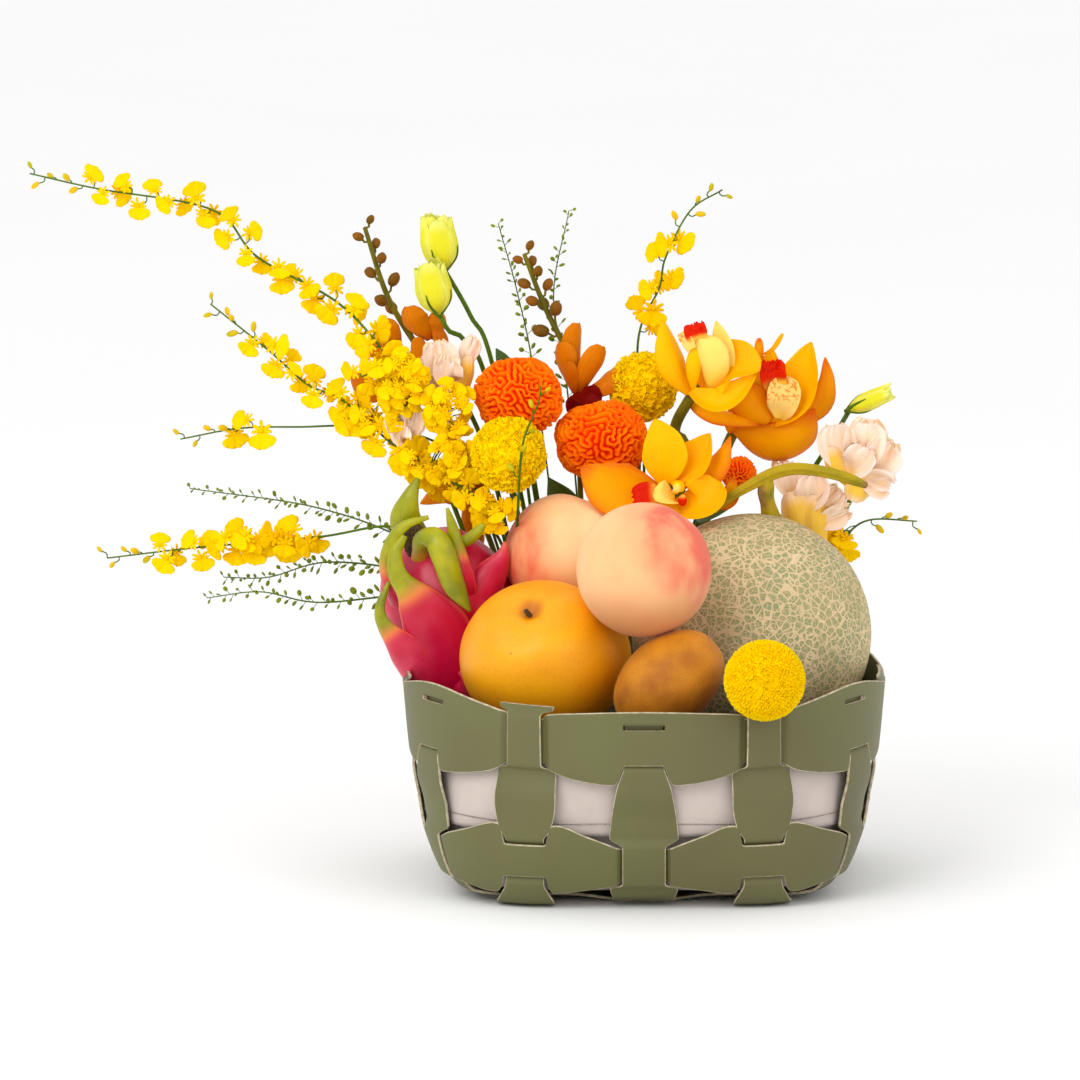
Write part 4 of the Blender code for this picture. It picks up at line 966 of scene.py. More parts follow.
def build_liner():
    """Cloth bag, its top folded out as a cuff with a stitched hem."""
    steps = LINER_STEPS
    inner = BAG_INSET + CLOTH
    outer = [(LINER_FLOOR, BAG_INSET + 16), (6.5, BAG_INSET + 9), (10, BAG_INSET + 4), (18, BAG_INSET + 1.5),
             (30, BAG_INSET), (60, BAG_INSET), (90, BAG_INSET), (LINER_TOP - 2 * CLOTH, BAG_INSET)]
    cuff_in = [(z, CUFF_INSET + CLOTH) for z in np.linspace(LINER_TOP - 2 * CLOTH, CUFF_HEM, 16)]
    cuff_out = [(z, CUFF_INSET) for z in np.linspace(CUFF_HEM, LINER_TOP - 1, 26)]
    top = [(LINER_TOP, CUFF_INSET + CLOTH), (LINER_TOP, inner - CLOTH / 2), (LINER_TOP - 1, inner)]
    bag_in = [(90, inner), (60, inner), (30, inner), (18, inner + 1.5), (10 + CLOTH, inner + 4),
              (6.5 + CLOTH, inner + 9), (LINER_FLOOR + CLOTH, inner + 16)]
    rows = []
    for z, inset in outer + cuff_in + cuff_out + top + bag_in:
        points, out = liner_level(z, inset, steps)
        wave = ruffles(points, 0.018, 3.0) * 1.3 + ruffles(points, 0.06, 9.0) * 0.35
        if inset < CUFF_INSET + CLOTH + 0.1 and z < LINER_TOP - 1:
            hem = math.exp(-((z - CUFF_HEM - HEM_STITCH) / 0.9) ** 2) * 0.35
            wave = wave * min(1.0, (LINER_TOP - z) / 30) - hem
            points[:, 2] += ruffles(out * 60.0, 0.05, 5.0) * 1.2 * (LINER_TOP - z) / (LINER_TOP - CUFF_HEM)
        else:
            wave = wave * 0.3
        rows.append(points + out * wave[:, None])
    shape = Shape()
    points = np.array(rows).reshape(-1, 3)
    count = len(rows)
    faces = grid_faces(count, steps, False, True)
    low, high = len(points), len(points) + 1
    points = np.vstack([points, (0, 0, LINER_FLOOR + LIFT), (0, 0, LINER_FLOOR + CLOTH + LIFT)])
    last = (count - 1) * steps
    for step in range(steps):
        following = (step + 1) % steps
        faces.append((low, following, step))
        faces.append((high, last + step, last + following))
    shape.add(points, faces)
    liner = piece("liner_cloth_bag", shape, [FINISHES["canvas"]], "liner")
    stitch = Shape()
    thread = smooth_path([(-STITCH_LENGTH / 2.4, 0, 0), (0, 0, 0.25), (STITCH_LENGTH / 2.4, 0, 0)], 0.6)
    add_tube(stitch, thread, 0.28, 5)
    line, out = liner_level(CUFF_HEM + HEM_STITCH, CUFF_INSET - 0.2, STITCHES)
    spots = [(p, facing(o, math.pi / 2, (0, 0, 1)) @ Matrix.Rotation(math.pi / 2, 3, "Z"), 1.0, 0.0)
             for p, o in zip(line, out)]
    grow(liner, spots, stitch, "thread", 1.0, 0.05, 2)


def ball_of(node):
    """Centre and half sizes of a node's box, in millimetres."""
    low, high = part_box(node)
    return (np.array(low) + np.array(high)) / 2 / MM, (np.array(high) - np.array(low)) / 2 / MM


def build_melon():
    """Netted melon and its T-shaped stalk."""
    centre, radii = ball_of("melon")
    shape = Shape()
    add_ball(shape, centre, radii, 160, 90, lambda ways: 1 + 0.006 * ruffles(ways, 2.2, 4.0))
    piece("melon_netted", shape, [FINISHES["rind"]], "melon")
    stalk = Shape()
    bar = smooth_path([(45, 20, 237), (58, 20, 247.5), (71.5, 20, 255.5), (84.5, 20, 262), (98, 20, 265),
                       (114.5, 20, 263.5), (132, 20, 259), (144.5, 20, 254)], 2.0)
    share = np.linspace(0, 1, len(bar))
    scar = np.append(np.repeat(smooth_value(share, ((0, 0.3), (0.05, 0), (0.95, 0), (1, 1))), 30), (0.3, 1.0))
    girth = smooth_value(share, ((0, 1.8), (0.15, 2.8), (0.45, 3.8), (0.6, 3.6), (0.9, 3.2), (1, 2.0)))
    add_tube(stalk, bar, girth, 30, ribs=0.14, scar=scar)
    stub = smooth_path([(80, 20, 259), (79, 23, 250), (80.5, 28, 241), (83, 34, 229)], 1.5)
    share = np.linspace(0, 1, len(stub))
    scar = np.repeat(smooth_value(share, ((0, 0), (0.2, 1), (0.55, 1), (0.75, 0), (1, 0))), 20)
    scar = scar * np.tile(0.5 - 0.5 * np.cos(np.linspace(0, 2 * math.pi, 20)), len(stub))
    girth = smooth_value(share, ((0, 3.4), (0.2, 5.2), (0.5, 4.6), (0.8, 5.6), (1, 7.2)))
    add_tube(stalk, stub, girth, 20, ribs=0.12, scar=np.append(scar, (0, 0)))
    piece("melon_stalk_ridged", stalk, [FINISHES["stalk"]], "melon_stalk")


def build_peach(node, finish, cleft, blush, seed):
    """Round fruit with a shallow cleft, a blush on one side and painted shade underneath."""
    centre, radii = ball_of(node)
    cleft = unit(cleft)
    side = unit(np.cross(cleft, (0.0, 1.0, 0.2)))

    def relief(ways):
        groove = np.exp(-((ways @ side) / 0.16) ** 2) * np.clip(ways @ cleft + 0.25, 0, 1)
        dimple = np.clip(ways @ cleft, 0, 1) ** 20
        return 1 - 0.022 * groove - 0.05 * dimple + 0.008 * ruffles(ways, 1.6, seed)
    shape = Shape()
    add_ball(shape, centre, radii, 96, 60, relief)
    ways = unit(shape.points[0] - centre)
    red = np.clip((ways @ unit(blush) - 0.25) / 0.6, 0, 1)
    red = red + 0.35 * np.clip(ruffles(ways, 2.4, seed + 2), 0, 1)
    shape.masks["blush"] = [np.clip(red, 0, 1)]
    # under mask: where painted shade darkens the lower front of the fruit
    shape.masks["under"] = [np.clip(-0.3 * ways[:, 1] - ways[:, 2] - 0.15, 0, 0.8) / 0.8]
    piece(node + "_downy", shape, [FINISHES[finish]], node)


def build_pear():
    """Round golden pear with a dimple, faint folds and a stalk stub."""
    centre, radii = ball_of("pear")
    centre, radii = centre + np.array((0, 0, 1.0)), radii + np.array((0, 0, 2.0))
    axis = unit((-0.19, -0.60, 0.76))
    side = unit(np.cross(axis, (0.0, 1.0, 0.0)))
    front = np.cross(axis, side)

    def relief(ways):
        up = ways @ axis
        around = np.arctan2(ways @ side, ways @ front)
        folds = np.cos(around * 4 + 0.9) * np.exp(-((up - 0.9) / 0.1) ** 2) * 0.02
        shoulder = 0.05 * np.exp(-((up - 0.8) / 0.16) ** 2) - 0.15 * np.clip(up, 0, 1) ** 60
        return 1 + shoulder + folds + 0.01 * ruffles(ways, 1.5, 2.0)
    shape = Shape()
    add_ball(shape, centre, radii, 110, 70, relief)
    ways = unit(shape.points[0] - centre)
    # hollow mask: the dimple round the stalk, where painted shade goes
    shape.masks["hollow"] = [np.clip((ways @ axis - 0.975) / 0.025, 0, 1)]
    dip = centre + axis * radii * 0.85
    add_tube(shape, smooth_path([dip, dip + axis * 6 + np.array((-2.5, 0, 0))], 1.0), 1.7, 8, 1)
    piece("pear_golden", shape, [FINISHES["pear"], FINISHES["crown"]], "pear")


def build_kiwi():
    """Brown kiwi lying on its side."""
    centre, _ = ball_of("kiwi")
    turn = Matrix.Rotation(math.radians(-40.0), 3, "Y")
    shape = Shape()
    add_ball(shape, centre + np.array((1.6, 0, 0.5)), (40.0, 29.0, 29.0), 90, 60,
             lambda ways: 1 + 0.01 * ruffles(ways, 1.8, 6.0) - 0.03 * np.abs(ways[:, 0]) ** 40, turn)
    piece("kiwi_felted", shape, [FINISHES["kiwi"]], "kiwi")


def add_scale(shape, root, path, widths, face, green):
    """Fleshy scale that grows from root inside the fruit; its width and green share change on the way."""
    start = np.linalg.norm(np.array(path[0], float) - root)
    path = smooth_path([root, *path], 1.4)
    reach = np.concatenate([[0], np.cumsum(np.linalg.norm(np.diff(path, axis=0), axis=1))])
    share = np.clip((reach - start) / (reach[-1] - start), 0, 1)
    rooted = np.clip(1 - reach / start, 0, 1)
    tangents = unit(np.gradient(path, axis=0))
    face = unit(np.asarray(face, float) - tangents * (tangents @ np.asarray(face, float))[:, None])
    side = np.cross(tangents, face)
    angle = np.linspace(0, 2 * math.pi, 20, endpoint=False)
    half = (smooth_value(share, widths) * (1 + 0.25 * rooted))[:, None, None] / 2
    flesh = smooth_value(share, ((0, 1.0), (0.6, 0.8), (1, 0.4)))[:, None, None]
    body = np.minimum(half * 0.8, SCALE_THICK * flesh)
    bow = (np.cos(angle) ** 2)[None, :, None] * half * -0.35
    points = (path[:, None] + side[:, None] * np.cos(angle)[None, :, None] * half
              + face[:, None] * (np.sin(angle)[None, :, None] * body + bow))
    count = len(path)
    faces = grid_faces(count, 20, False, True)
    faces += [tuple(range(20)), tuple(reversed(range((count - 1) * 20, count * 20)))]
    shape.add(points, faces, 0, tip=np.repeat(smooth_value(share, green), 20), along=np.repeat(share, 20),
              across=np.tile(np.cos(angle), count))


def build_dragon_fruit():
    """Pink fruit with fleshy green-tipped scales and a dark fibrous crown."""
    centre = np.array((-127.5, 38.0, 174.0))
    turn = Matrix.Rotation(math.radians(-22.0), 3, "Y") @ Matrix.Rotation(math.radians(12.0), 3, "X")

    def relief(ways):
        around = np.arctan2(ways[:, 1], ways[:, 0])
        lobes = np.cos(around * 5 + 2.5 * ways[:, 2]) * np.clip(1 - ways[:, 2] ** 2, 0, 1) * 0.02
        return 1 + lobes + 0.02 * ruffles(ways, 1.8, 1.0) - 0.12 * np.clip(ways[:, 2], 0, 1) ** 16
    shape = Shape()
    add_ball(shape, centre, (43.5, 43.0, 51.5), 110, 70, relief, turn)
    grown = ((0, 0.0), (0.2, 0.1), (0.45, 0.75), (1, 1.0))
    late = ((0, 0.0), (0.6, 0.05), (0.85, 0.5), (1, 1.0))
    front = (-0.1, -1.0, 0.2)
    scales = (
        (((-146, 24, 214), (-155, 18, 230), (-153, 16, 245), (-147, 20, 259)),
         ((0, 20), (0.35, 21), (0.75, 11), (1, 3)), front, ((0, 0.5), (0.3, 0.9), (1, 1.0))),
        (((-160, 8, 180), (-168, -2, 203), (-165, -6, 221), (-155, -8, 233), (-140, -8, 238)),
         ((0, 16), (0.35, 11), (0.7, 8), (1, 3)), (-0.5, -1, 0.3), grown),
        (((-122, -3, 124), (-133, -10, 158), (-149, -14, 185), (-160, -13, 200), (-162, -10, 214),
          (-156, -8, 226)),
         ((0, 38), (0.35, 44), (0.55, 30), (0.7, 15), (0.87, 10), (1, 5)), (-0.15, -1, 0.1),
         ((0, 0.0), (0.53, 0.05), (0.66, 0.6), (0.78, 1.0), (1, 1.0))),
        (((-146, 4, 212), (-144, -6, 223), (-136, -13, 225), (-130, -17, 214), (-124, -16, 196),
          (-113, -15, 177)), ((0, 11), (0.25, 15), (0.5, 17), (0.75, 15), (1, 2)), (-0.1, -1, 0.5),
         ((0, 0.6), (0.3, 1.0), (1, 1.0))),
        (((-119, -6, 196), (-121, -6, 212), (-124, -4, 228), (-128, -2, 243)),
         ((0, 18), (0.35, 12), (0.8, 6), (1, 2)), front, grown),
        (((-125, 4, 217), (-114, 0, 222), (-104, -2, 232)), ((0, 8), (0.6, 8), (1, 4)), front,
         ((0, 0.8), (0.3, 1.0), (1, 1.0))),
        (((-132, 0, 120), (-154, -6, 146), (-169, -5, 165), (-172, -4, 178), (-165, 0, 196)),
         ((0, 36), (0.35, 31), (0.58, 15), (0.72, 9), (0.88, 5), (1, 2)), (-0.5, -1, -0.1),
         ((0, 0.0), (0.5, 0.05), (0.62, 0.6), (0.75, 1.0), (1, 1.0))),
        (((-108, 4, 184), (-99, 6, 197), (-92, 6, 209), (-90, 8, 219)),
         ((0, 30), (0.4, 22), (0.8, 9), (1, 2)), (0.3, -1, 0.2), ((0, 0.0), (0.7, 0.02), (1, 0.3))),
        (((-99, -2, 160), (-92, 0, 172), (-88, 2, 183)), ((0, 24), (0.5, 14), (1, 2)), (0.4, -1, 0.1),
         ((0, 0.0), (0.7, 0.02), (1, 0.3))),
        (((-112, -10, 152), (-106, -13, 162), (-106, -14, 168), (-112, -14, 157)),
         ((0, 14), (0.5, 8), (1, 2)), (0.2, -1, 0.3), late),
        (((-118, -8, 128), (-108, -10, 140), (-103, -8, 146)), ((0, 22), (0.5, 16), (1, 2)), (0.1, -1, 0),
         ((0, 0.0), (1, 0.15))),
    )
    for path, widths, face, green in scales:
        first = np.array(path[0], float)
        root = first - unit(np.array(path[1]) - first) * 16
        root = centre + (root - centre) * min(1.0, 34.0 / np.linalg.norm(root - centre))
        add_scale(shape, root, path, widths, face, green)
    add_ball(shape, (-147, 14, 216), (9, 6, 17), 24, 16, lambda ways: 1 + 0.25 * ruffles(ways, 6.0, 3.0),
             turn, 1)
    piece("dragon_fruit_scaled", shape, [FINISHES["dragon"], FINISHES["crown"]],
          "dragon_fruit")


def labyrinth(edges, count, seed, near, far, rounds):
    """Values from 0 to 1 that wind over a mesh like folds, from its edges."""
    draw = np.random.default_rng(seed)
    ends = np.concatenate([edges, edges[:, ::-1]])
    links = np.bincount(ends[:, 0], minlength=count)

    def blur(values, times):
        for _ in range(times):
            values = (values + np.bincount(ends[:, 0], values[ends[:, 1]], count) / links) / 2
        return values
    values = draw.uniform(-1, 1, count)
    for _ in range(rounds):
        close = blur(values, near)
        values = np.clip((close - blur(close, far)) * 6, -1, 1)
    return blur(values, 1) * 0.5 + 0.5


def build_celosia(node, centre, radii, foot, bends, level, depth, near, far, seed):
    """Velvety head with winding folds, on a stem."""
    work = bmesh.new()
    bmesh.ops.create_icosphere(work, subdivisions=level, radius=1.0)
    ways = np.array([v.co[:] for v in work.verts])
    edges = np.array([[v.index for v in e.verts] for e in work.edges])
    faces = [tuple(v.index for v in f.verts) for f in work.faces]
    work.free()
    fold = labyrinth(edges, len(ways), seed, near, far, 26)
    lump = ruffles(ways, 1.6, seed) + 0.35 * ruffles(ways, 4.5, seed + 5)
    heights = 1 + 0.10 * lump + depth / np.mean(radii) * (fold ** 0.8 - 1)
    shape = Shape()
    shape.add(np.array(centre) + ways * np.array(radii) * heights[:, None], faces, 0, fold=fold)
    stalk_to(shape, centre, bends, foot, 2.0, 1)
    piece(node + "_folds", shape, [FINISHES["celosia"], FINISHES["stem"]], node)


def add_petal(shape, base, way, face, length, width, spine, curl=0.2, cup=0.15, wave=0.0, waves=3.0, slot=0,
              rows=12, columns=9, thick=0.8, phase=0.0, **masks):
    """Petal from its base along a direction; spine gives its width along it, face the way it looks."""
    way = unit(way)
    across = unit(np.cross(way, face))
    face = np.cross(across, way)
    t = np.linspace(0, 1, rows)[:, None]
    u = np.linspace(-1, 1, columns)[None, :]
    half = smooth_value(t, spine) * width / 2
    rise = length * curl * t ** 2 + np.abs(u) ** 2 * half * 2 * cup
    rise = rise + wave * t ** 1.5 * np.abs(u) * np.sin(u * waves * math.pi + phase + t * 3)
    out = length * t - wave * 0.5 * t ** 3 * np.abs(np.sin(u * waves * math.pi + phase))
    grid = (np.asarray(base, float) + way * out[..., None] + across * (u * half)[..., None]
            + face * rise[..., None])
    edge = np.clip(1.15 - np.abs(u) ** 6 - t ** 12, 0.25, 1)
    add_sheet(shape, grid, thick * edge, slot, **masks)


def stalk_to(shape, centre, bends, foot, radius, slot, sides=8):
    """Stem from a flower down to the packing."""
    add_tube(shape, smooth_path([centre, *bends, (*foot, STEM_FOOT)], 4.0), radius, sides, slot)


def spread_ways(count, seed=0.0):
    """Directions spread evenly over a ball."""
    index = np.arange(count) + 0.5
    polar = np.arccos(1 - 2 * index / count)
    around = math.pi * (1 + math.sqrt(5)) * index + seed
    return np.stack([np.sin(polar) * np.cos(around), np.sin(polar) * np.sin(around), np.cos(polar)], axis=1)


def build_ball_flower():
    """Pompon of short tubular petals, its stem bent over the rim."""
    centre = np.array((78.0, -157.0, 156.0))
    shape = Shape()
    add_ball(shape, centre, (24.3,) * 3, 40, 24)
    add_tube(shape, smooth_path([centre, (72, -122, 150), (66, -108, STEM_FOOT)], 3.0), 1.8, 8, 1)
    obj = piece("ball_flower_pompon", shape, [FINISHES["mum"], FINISHES["stem"]], "ball_flower")
    tip = Shape()
    add_petal(tip, (0, 0, -2.0), (0, 0, 1), (1, 0, 0), 4.6, 2.3, ((0, 0.7), (0.7, 1.0), (1, 0.7)), 0.05, 0.3,
              rows=4, columns=4, thick=0.6)
    draw = random.Random(7)
    spots = []
    for way in spread_ways(1700):
        lean = unit(way + np.array([draw.uniform(-0.12, 0.12) for _ in range(3)]))
        spots.append((centre + way * 23.9, facing(lean, draw.uniform(0, 6.28)), 1.0, draw.random() * 0.4))
    grow(obj, spots, tip, "mum", 1.0, 0.1, 5)


def build_chrysanthemum(node, centre, radius, look, bends, foot, seed):
    """Dense head of broad frilled petals with serrated rims."""
    centre = np.array(centre)
    look = unit(look)
    shape = Shape()
    add_ball(shape, centre, (radius * 0.83,) * 3, 32, 20)
    stalk_to(shape, centre, bends, foot, 1.8, 1)
    obj = piece(node + "_petals", shape, [FINISHES["mum"], FINISHES["stem"]], node)
    tip = Shape()
    add_petal(tip, (0, 0, -3.0), (0, 0, 1), (0, 1, 0), 9.0, 7.0,
              ((0, 0.45), (0.6, 0.9), (0.9, 1.0), (1, 0.85)), 0.12, 0.3, 1.2, 3.5,
              rows=6, columns=9, thick=0.6)
    draw = random.Random(seed)
    spots = []
    for way in spread_ways(520, seed):
        lean = unit(way + look * 0.15 + np.array([draw.uniform(-0.3, 0.3) for _ in range(3)]))
        flatten = 1 - 0.15 * max(0.0, float(way @ look))
        spots.append((centre + way * radius * 0.76 * flatten, facing(lean, draw.uniform(0, 6.28)), 1.0,
                      draw.random() * 0.5))
    grow(obj, spots, tip, "mum", radius / 25.0, 0.16, seed)


def add_blade(shape, path, width, spine, face, cup=0.15, slot=0, frill=0.0, waves=3.0, phase=0.0, twist=0.0,
              thick=0.9, rows=22, columns=13, jag=0.0, **masks):
    """Petal along a path through points; face is the way its upper side looks, twist turns it on the way."""
    line = smooth_path(path, 1.0)
    at = np.linspace(0, len(line) - 1, rows)
    line = np.stack([np.interp(at, np.arange(len(line)), line[:, k]) for k in range(3)], axis=1)
    tangents = unit(np.gradient(line, axis=0))
    face = unit(np.asarray(face, float) - tangents * (tangents @ np.asarray(face, float))[:, None])
    side = np.cross(tangents, face)
    share = np.linspace(0, 1, rows)
    turn = twist * share[:, None]
    face, side = face * np.cos(turn) + side * np.sin(turn), side * np.cos(turn) - face * np.sin(turn)
    half = smooth_value(share, spine)[:, None] * width / 2
    u = np.linspace(-1, 1, columns)[None, :]
    rise = u ** 2 * half * 2 * cup
    spot = np.stack(np.broadcast_arrays(u * waves * 0.5, share[:, None] * 1.1, phase), axis=-1).reshape(-1, 3)
    wave = np.clip(ruffles(spot, 1.0) * 1.8, -1, 1).reshape(rows, columns) * share[:, None] ** 1.3
    rise = rise + frill * wave
    fine = ruffles(spot * (2.6, 1.0, 1.0), 1.0, 5.0).reshape(rows, columns)
    rise = rise + frill * 0.5 * share[:, None] ** 5 * fine
    slip = jag * share[:, None] ** 4 * fine
    grid = (line[:, None] + side[:, None] * (u * half)[..., None] + face[:, None] * rise[..., None]
            + tangents[:, None] * slip[..., None])
    rim = np.clip(1.1 - np.abs(u) ** 6 - share[:, None] ** 12, 0.3, 1)
    add_sheet(shape, grid, thick * rim, slot, fold=np.tile((0.5 + 0.5 * wave).ravel(), 2), **masks)


PETAL = ((0, 0.28), (0.25, 0.8), (0.45, 1.0), (0.65, 0.86), (0.85, 0.48), (0.95, 0.22), (1, 0.04))
ROUND_PETAL = ((0, 0.3), (0.35, 0.85), (0.65, 1.0), (0.88, 0.8), (1, 0.35))
FAN_PETAL = ((0, 0.22), (0.35, 0.65), (0.68, 1.0), (0.86, 0.95), (1, 0.62))
RIM_PETAL = ((0, 0.8), (0.45, 1.0), (0.85, 0.92), (1, 0.68))
TAPERED_PETAL = ((0, 0.12), (0.2, 0.7), (0.45, 1.0), (0.7, 0.85), (0.9, 0.4), (1, 0.04))
BROAD_PETAL = ((0, 0.5), (0.35, 1.0), (0.7, 0.85), (0.9, 0.55), (1, 0.25))


def build_cream(node, centre, back, ruffled, tubes, bends, foot, seed):
    """Ruffled flower: blades as (path from the centre, width, face, cup), then its tube petals."""
    centre = np.array(centre, float)
    shape = Shape()
    draw = random.Random(seed)
    for slot, blades in ((0, ruffled), (1, tubes)):
        for path, width, face, cup in blades:
            for layer in range(3 if slot == 0 else 1):
                shift = np.array([draw.uniform(-1.2, 1.2), 2.2 * layer,
                                  draw.uniform(-1.2, 1.2)]) * bool(layer)
                points = [centre + np.array(point) + shift * (index + 0.5)
                          for index, point in enumerate(path)]
                add_blade(shape, points, width * (1 - 0.12 * layer), FAN_PETAL if slot == 0 else ROUND_PETAL,
                          face, cup, slot, 3.0 if slot == 0 else 0.7, draw.uniform(4.5, 6.5),
                          draw.uniform(0, 6), 0.0, 0.7, 30, 37, 1.6 * (slot == 0),
                          tone=0.22 * layer + draw.random() * 0.2)
    stalk_to(shape, centre + np.array(back), bends, foot, 1.7, 2)
    piece(node + "_petals", shape, [FINISHES["cream"], FINISHES["cream_tube"], FINISHES["stem"]],
          node)


def build_bud(node, centre, look, reach, width, bends, foot, seed):
    """Closed bud of furled petals with jagged tips, in narrow green sepals."""
    centre = np.array(centre, float)
    look = unit(look)
    side = unit(np.cross(look, (0, 1, 0)))
    other = np.cross(side, look)
    base = centre - look * reach
    shape = Shape()
    draw = random.Random(seed)
    spine = ((0, 0.2), (0.3, 0.8), (0.6, 1.0), (0.85, 0.85), (1, 0.35))
    for index in range(8):
        angle = 2 * math.pi * index / 8 + draw.uniform(-0.1, 0.1)
        out = side * math.cos(angle) + other * math.sin(angle)
        wide = width / 2 * (0.8 if index % 2 else 1.0)
        top = reach * 2.0 * draw.uniform(0.9, 1.04)
        path = [base, base + look * top * 0.22 + out * wide * 0.72,
                base + look * top * 0.5 + out * wide * 0.92,
                base + look * top * 0.8 + out * wide * 0.8, base + look * top + out * wide * 0.72]
        add_blade(shape, path, width * 0.72, spine, out, -0.22, 0, width * 0.05, 3.0, draw.uniform(0, 6),
                  0.0, 0.8, 22, 15, width * 0.08, tone=draw.random() * 0.6)
    for index in range(4):
        angle = 2 * math.pi * (index + 0.3) / 4
        out = side * math.cos(angle) + other * math.sin(angle)
        path = [base - look * 2, base + look * reach * 0.45 + out * width * 0.4,
                base + look * reach * 0.9 + out * width * 0.5]
        add_blade(shape, path, 2.6, ((0, 1.0), (0.6, 0.7), (1, 0.15)), out, -0.1, 1, rows=10, columns=5)
    stalk_to(shape, base + look * 2, bends, foot, 1.6, 1)
    piece(node + "_furled", shape, [FINISHES["bud"], FINISHES["stem"]], node)


def build_orchid(node, centre, blades, stem, bends, foot, knobs=(), spikes=()):
    """Open orchid: a blade is (finish, points from the centre, width, spine, face, cup, frill, twist)."""
    centre = np.array(centre, float)
    names = list(dict.fromkeys(blade[0] for blade in blades)) + ["olive_stem"]
    shape = Shape()
    for index, (finish, path, width, spine, face, cup, frill, twist) in enumerate(blades):
        points = [centre + np.array(point) for point in path]
        add_blade(shape, points, width, spine, face, cup, names.index(finish), frill,
                  7.0 if finish == "lip" else 5.0, index * 1.3, math.radians(twist), 1.1, 26, 21,
                  2.4 * (finish == "lip"), tone=(index % 3) * 0.22)
    for finish, place, radius in knobs:
        add_ball(shape, centre + np.array(place), (radius, radius, radius * 1.3), 14, 9,
                 slot=names.index(finish))
    stalk_to(shape, centre + np.array((0, 6, -4)), bends, foot, stem, len(names) - 1, 14)
    obj = piece(node + "_petals", shape, [FINISHES[name] for name in names], node)
    for path, count, seed in spikes:
        grow_spike(obj, path, count, seed)


def join_shape(obj, shape, finishes):
    """Join a shape to a piece as one mesh."""
    extra = new_object("extra", shape.mesh("extra", [FINISHES[f] for f in finishes]))
    outward(extra.data)
    with bpy.context.temp_override(active_object=obj, object=obj, selected_objects=[obj, extra],
                                   selected_editable_objects=[obj, extra]):
        bpy.ops.object.join()


def grow_spike(obj, path, count, seed):
    """Bud spike: a stalk with round buds on short necks."""
    path = smooth_path(path, 3.0)
    shape = Shape()
    add_tube(shape, path, np.linspace(1.5, 2.3, len(path)), 8)
    draw = random.Random(seed)
    tangents, side, other = path_frames(path)
    spots = []
    for index in range(count):
        at = int((index + 0.1) / count * len(path) * 0.72)
        turn = index * 2.4 + draw.uniform(-0.4, 0.4)
        out = side[at] * math.cos(turn) + other[at] * math.sin(turn)
        way = unit(out - tangents[at] * 0.8)
        size = 0.7 + 0.5 * index / count
        tip = path[at] + way * 7 * size
        add_tube(shape, smooth_path([path[at], path[at] + out * 3, tip], 1.5), 0.8, 6)
        spots.append((tip + way * 3.2 * size, facing(way, 0.0, (0.3, 1, 0)), size, draw.random()))
    join_shape(obj, shape, ["olive_stem"])
    bud = Shape()
    add_ball(bud, (0, 0, 0), (3.6, 3.6, 4.8), 12, 8,
             lambda ways: 1 + 0.05 * np.cos(np.arctan2(ways[:, 1], ways[:, 0]) * 3))
    grow(obj, spots, bud, "bronze_bud", 1.0, 0.08, seed)


def floret_shape():
    """Dancing orchid floret: a two-lobed skirt under small narrow arms."""
    shape = Shape()
    for sign in (-1, 1):
        add_petal(shape, (sign * 0.2, 0, -0.4), (sign * 0.5, 0.1, -1), (0, 1, 0.15), 10.6, 11.0,
                  ((0, 0.24), (0.25, 0.4), (0.6, 0.95), (0.8, 1.0), (1, 0.62)), 0.12, -0.06, 0.9, 2.2, 0,
                  9, 10, 0.4, sign * 1.3, tone=0.2 + 0.2 * sign)
    for angle in (90, 32, 150, -8, 188):
        way = (math.cos(math.radians(angle)), 0.2, math.sin(math.radians(angle)))
        add_petal(shape, (0, 0, 0.2), way, (0, 1, 0), 6.4, 2.3, ((0, 0.5), (0.7, 1.0), (1, 0.5)), -0.1,
                  0.2, 0.6, 1.0, 0, 6, 4, 0.4, angle, tone=0.5)
    add_ball(shape, (0, 0.8, 0.1), (1.1, 1.3, 1.2), 8, 5, tone=1.0)
    return shape


def small_bud_shape():
    """Small pointed bud."""
    shape = Shape()
    add_ball(shape, (0, 0, 1.9), (1.7, 1.7, 3.2), 8, 6)
    return shape


FLORET = floret_shape()
SMALL_BUD = small_bud_shape()


def floret_turn(draw, out, along):
    """Turn of a floret: it looks to the front and its skirt hangs away from the stem."""
    front = unit(np.array((draw.uniform(-0.6, 0.6), -1.0, draw.uniform(-0.3, 0.6))) + out * 0.4)
    skirt = unit(out - along * draw.uniform(-0.2, 0.9) + np.array((draw.uniform(-0.5, 0.5), 0, -0.5)))
    lift = unit(-(skirt - front * np.dot(skirt, front)))
    right = np.cross(front, lift)
    return Matrix(np.stack([right, front, lift], axis=1).tolist())


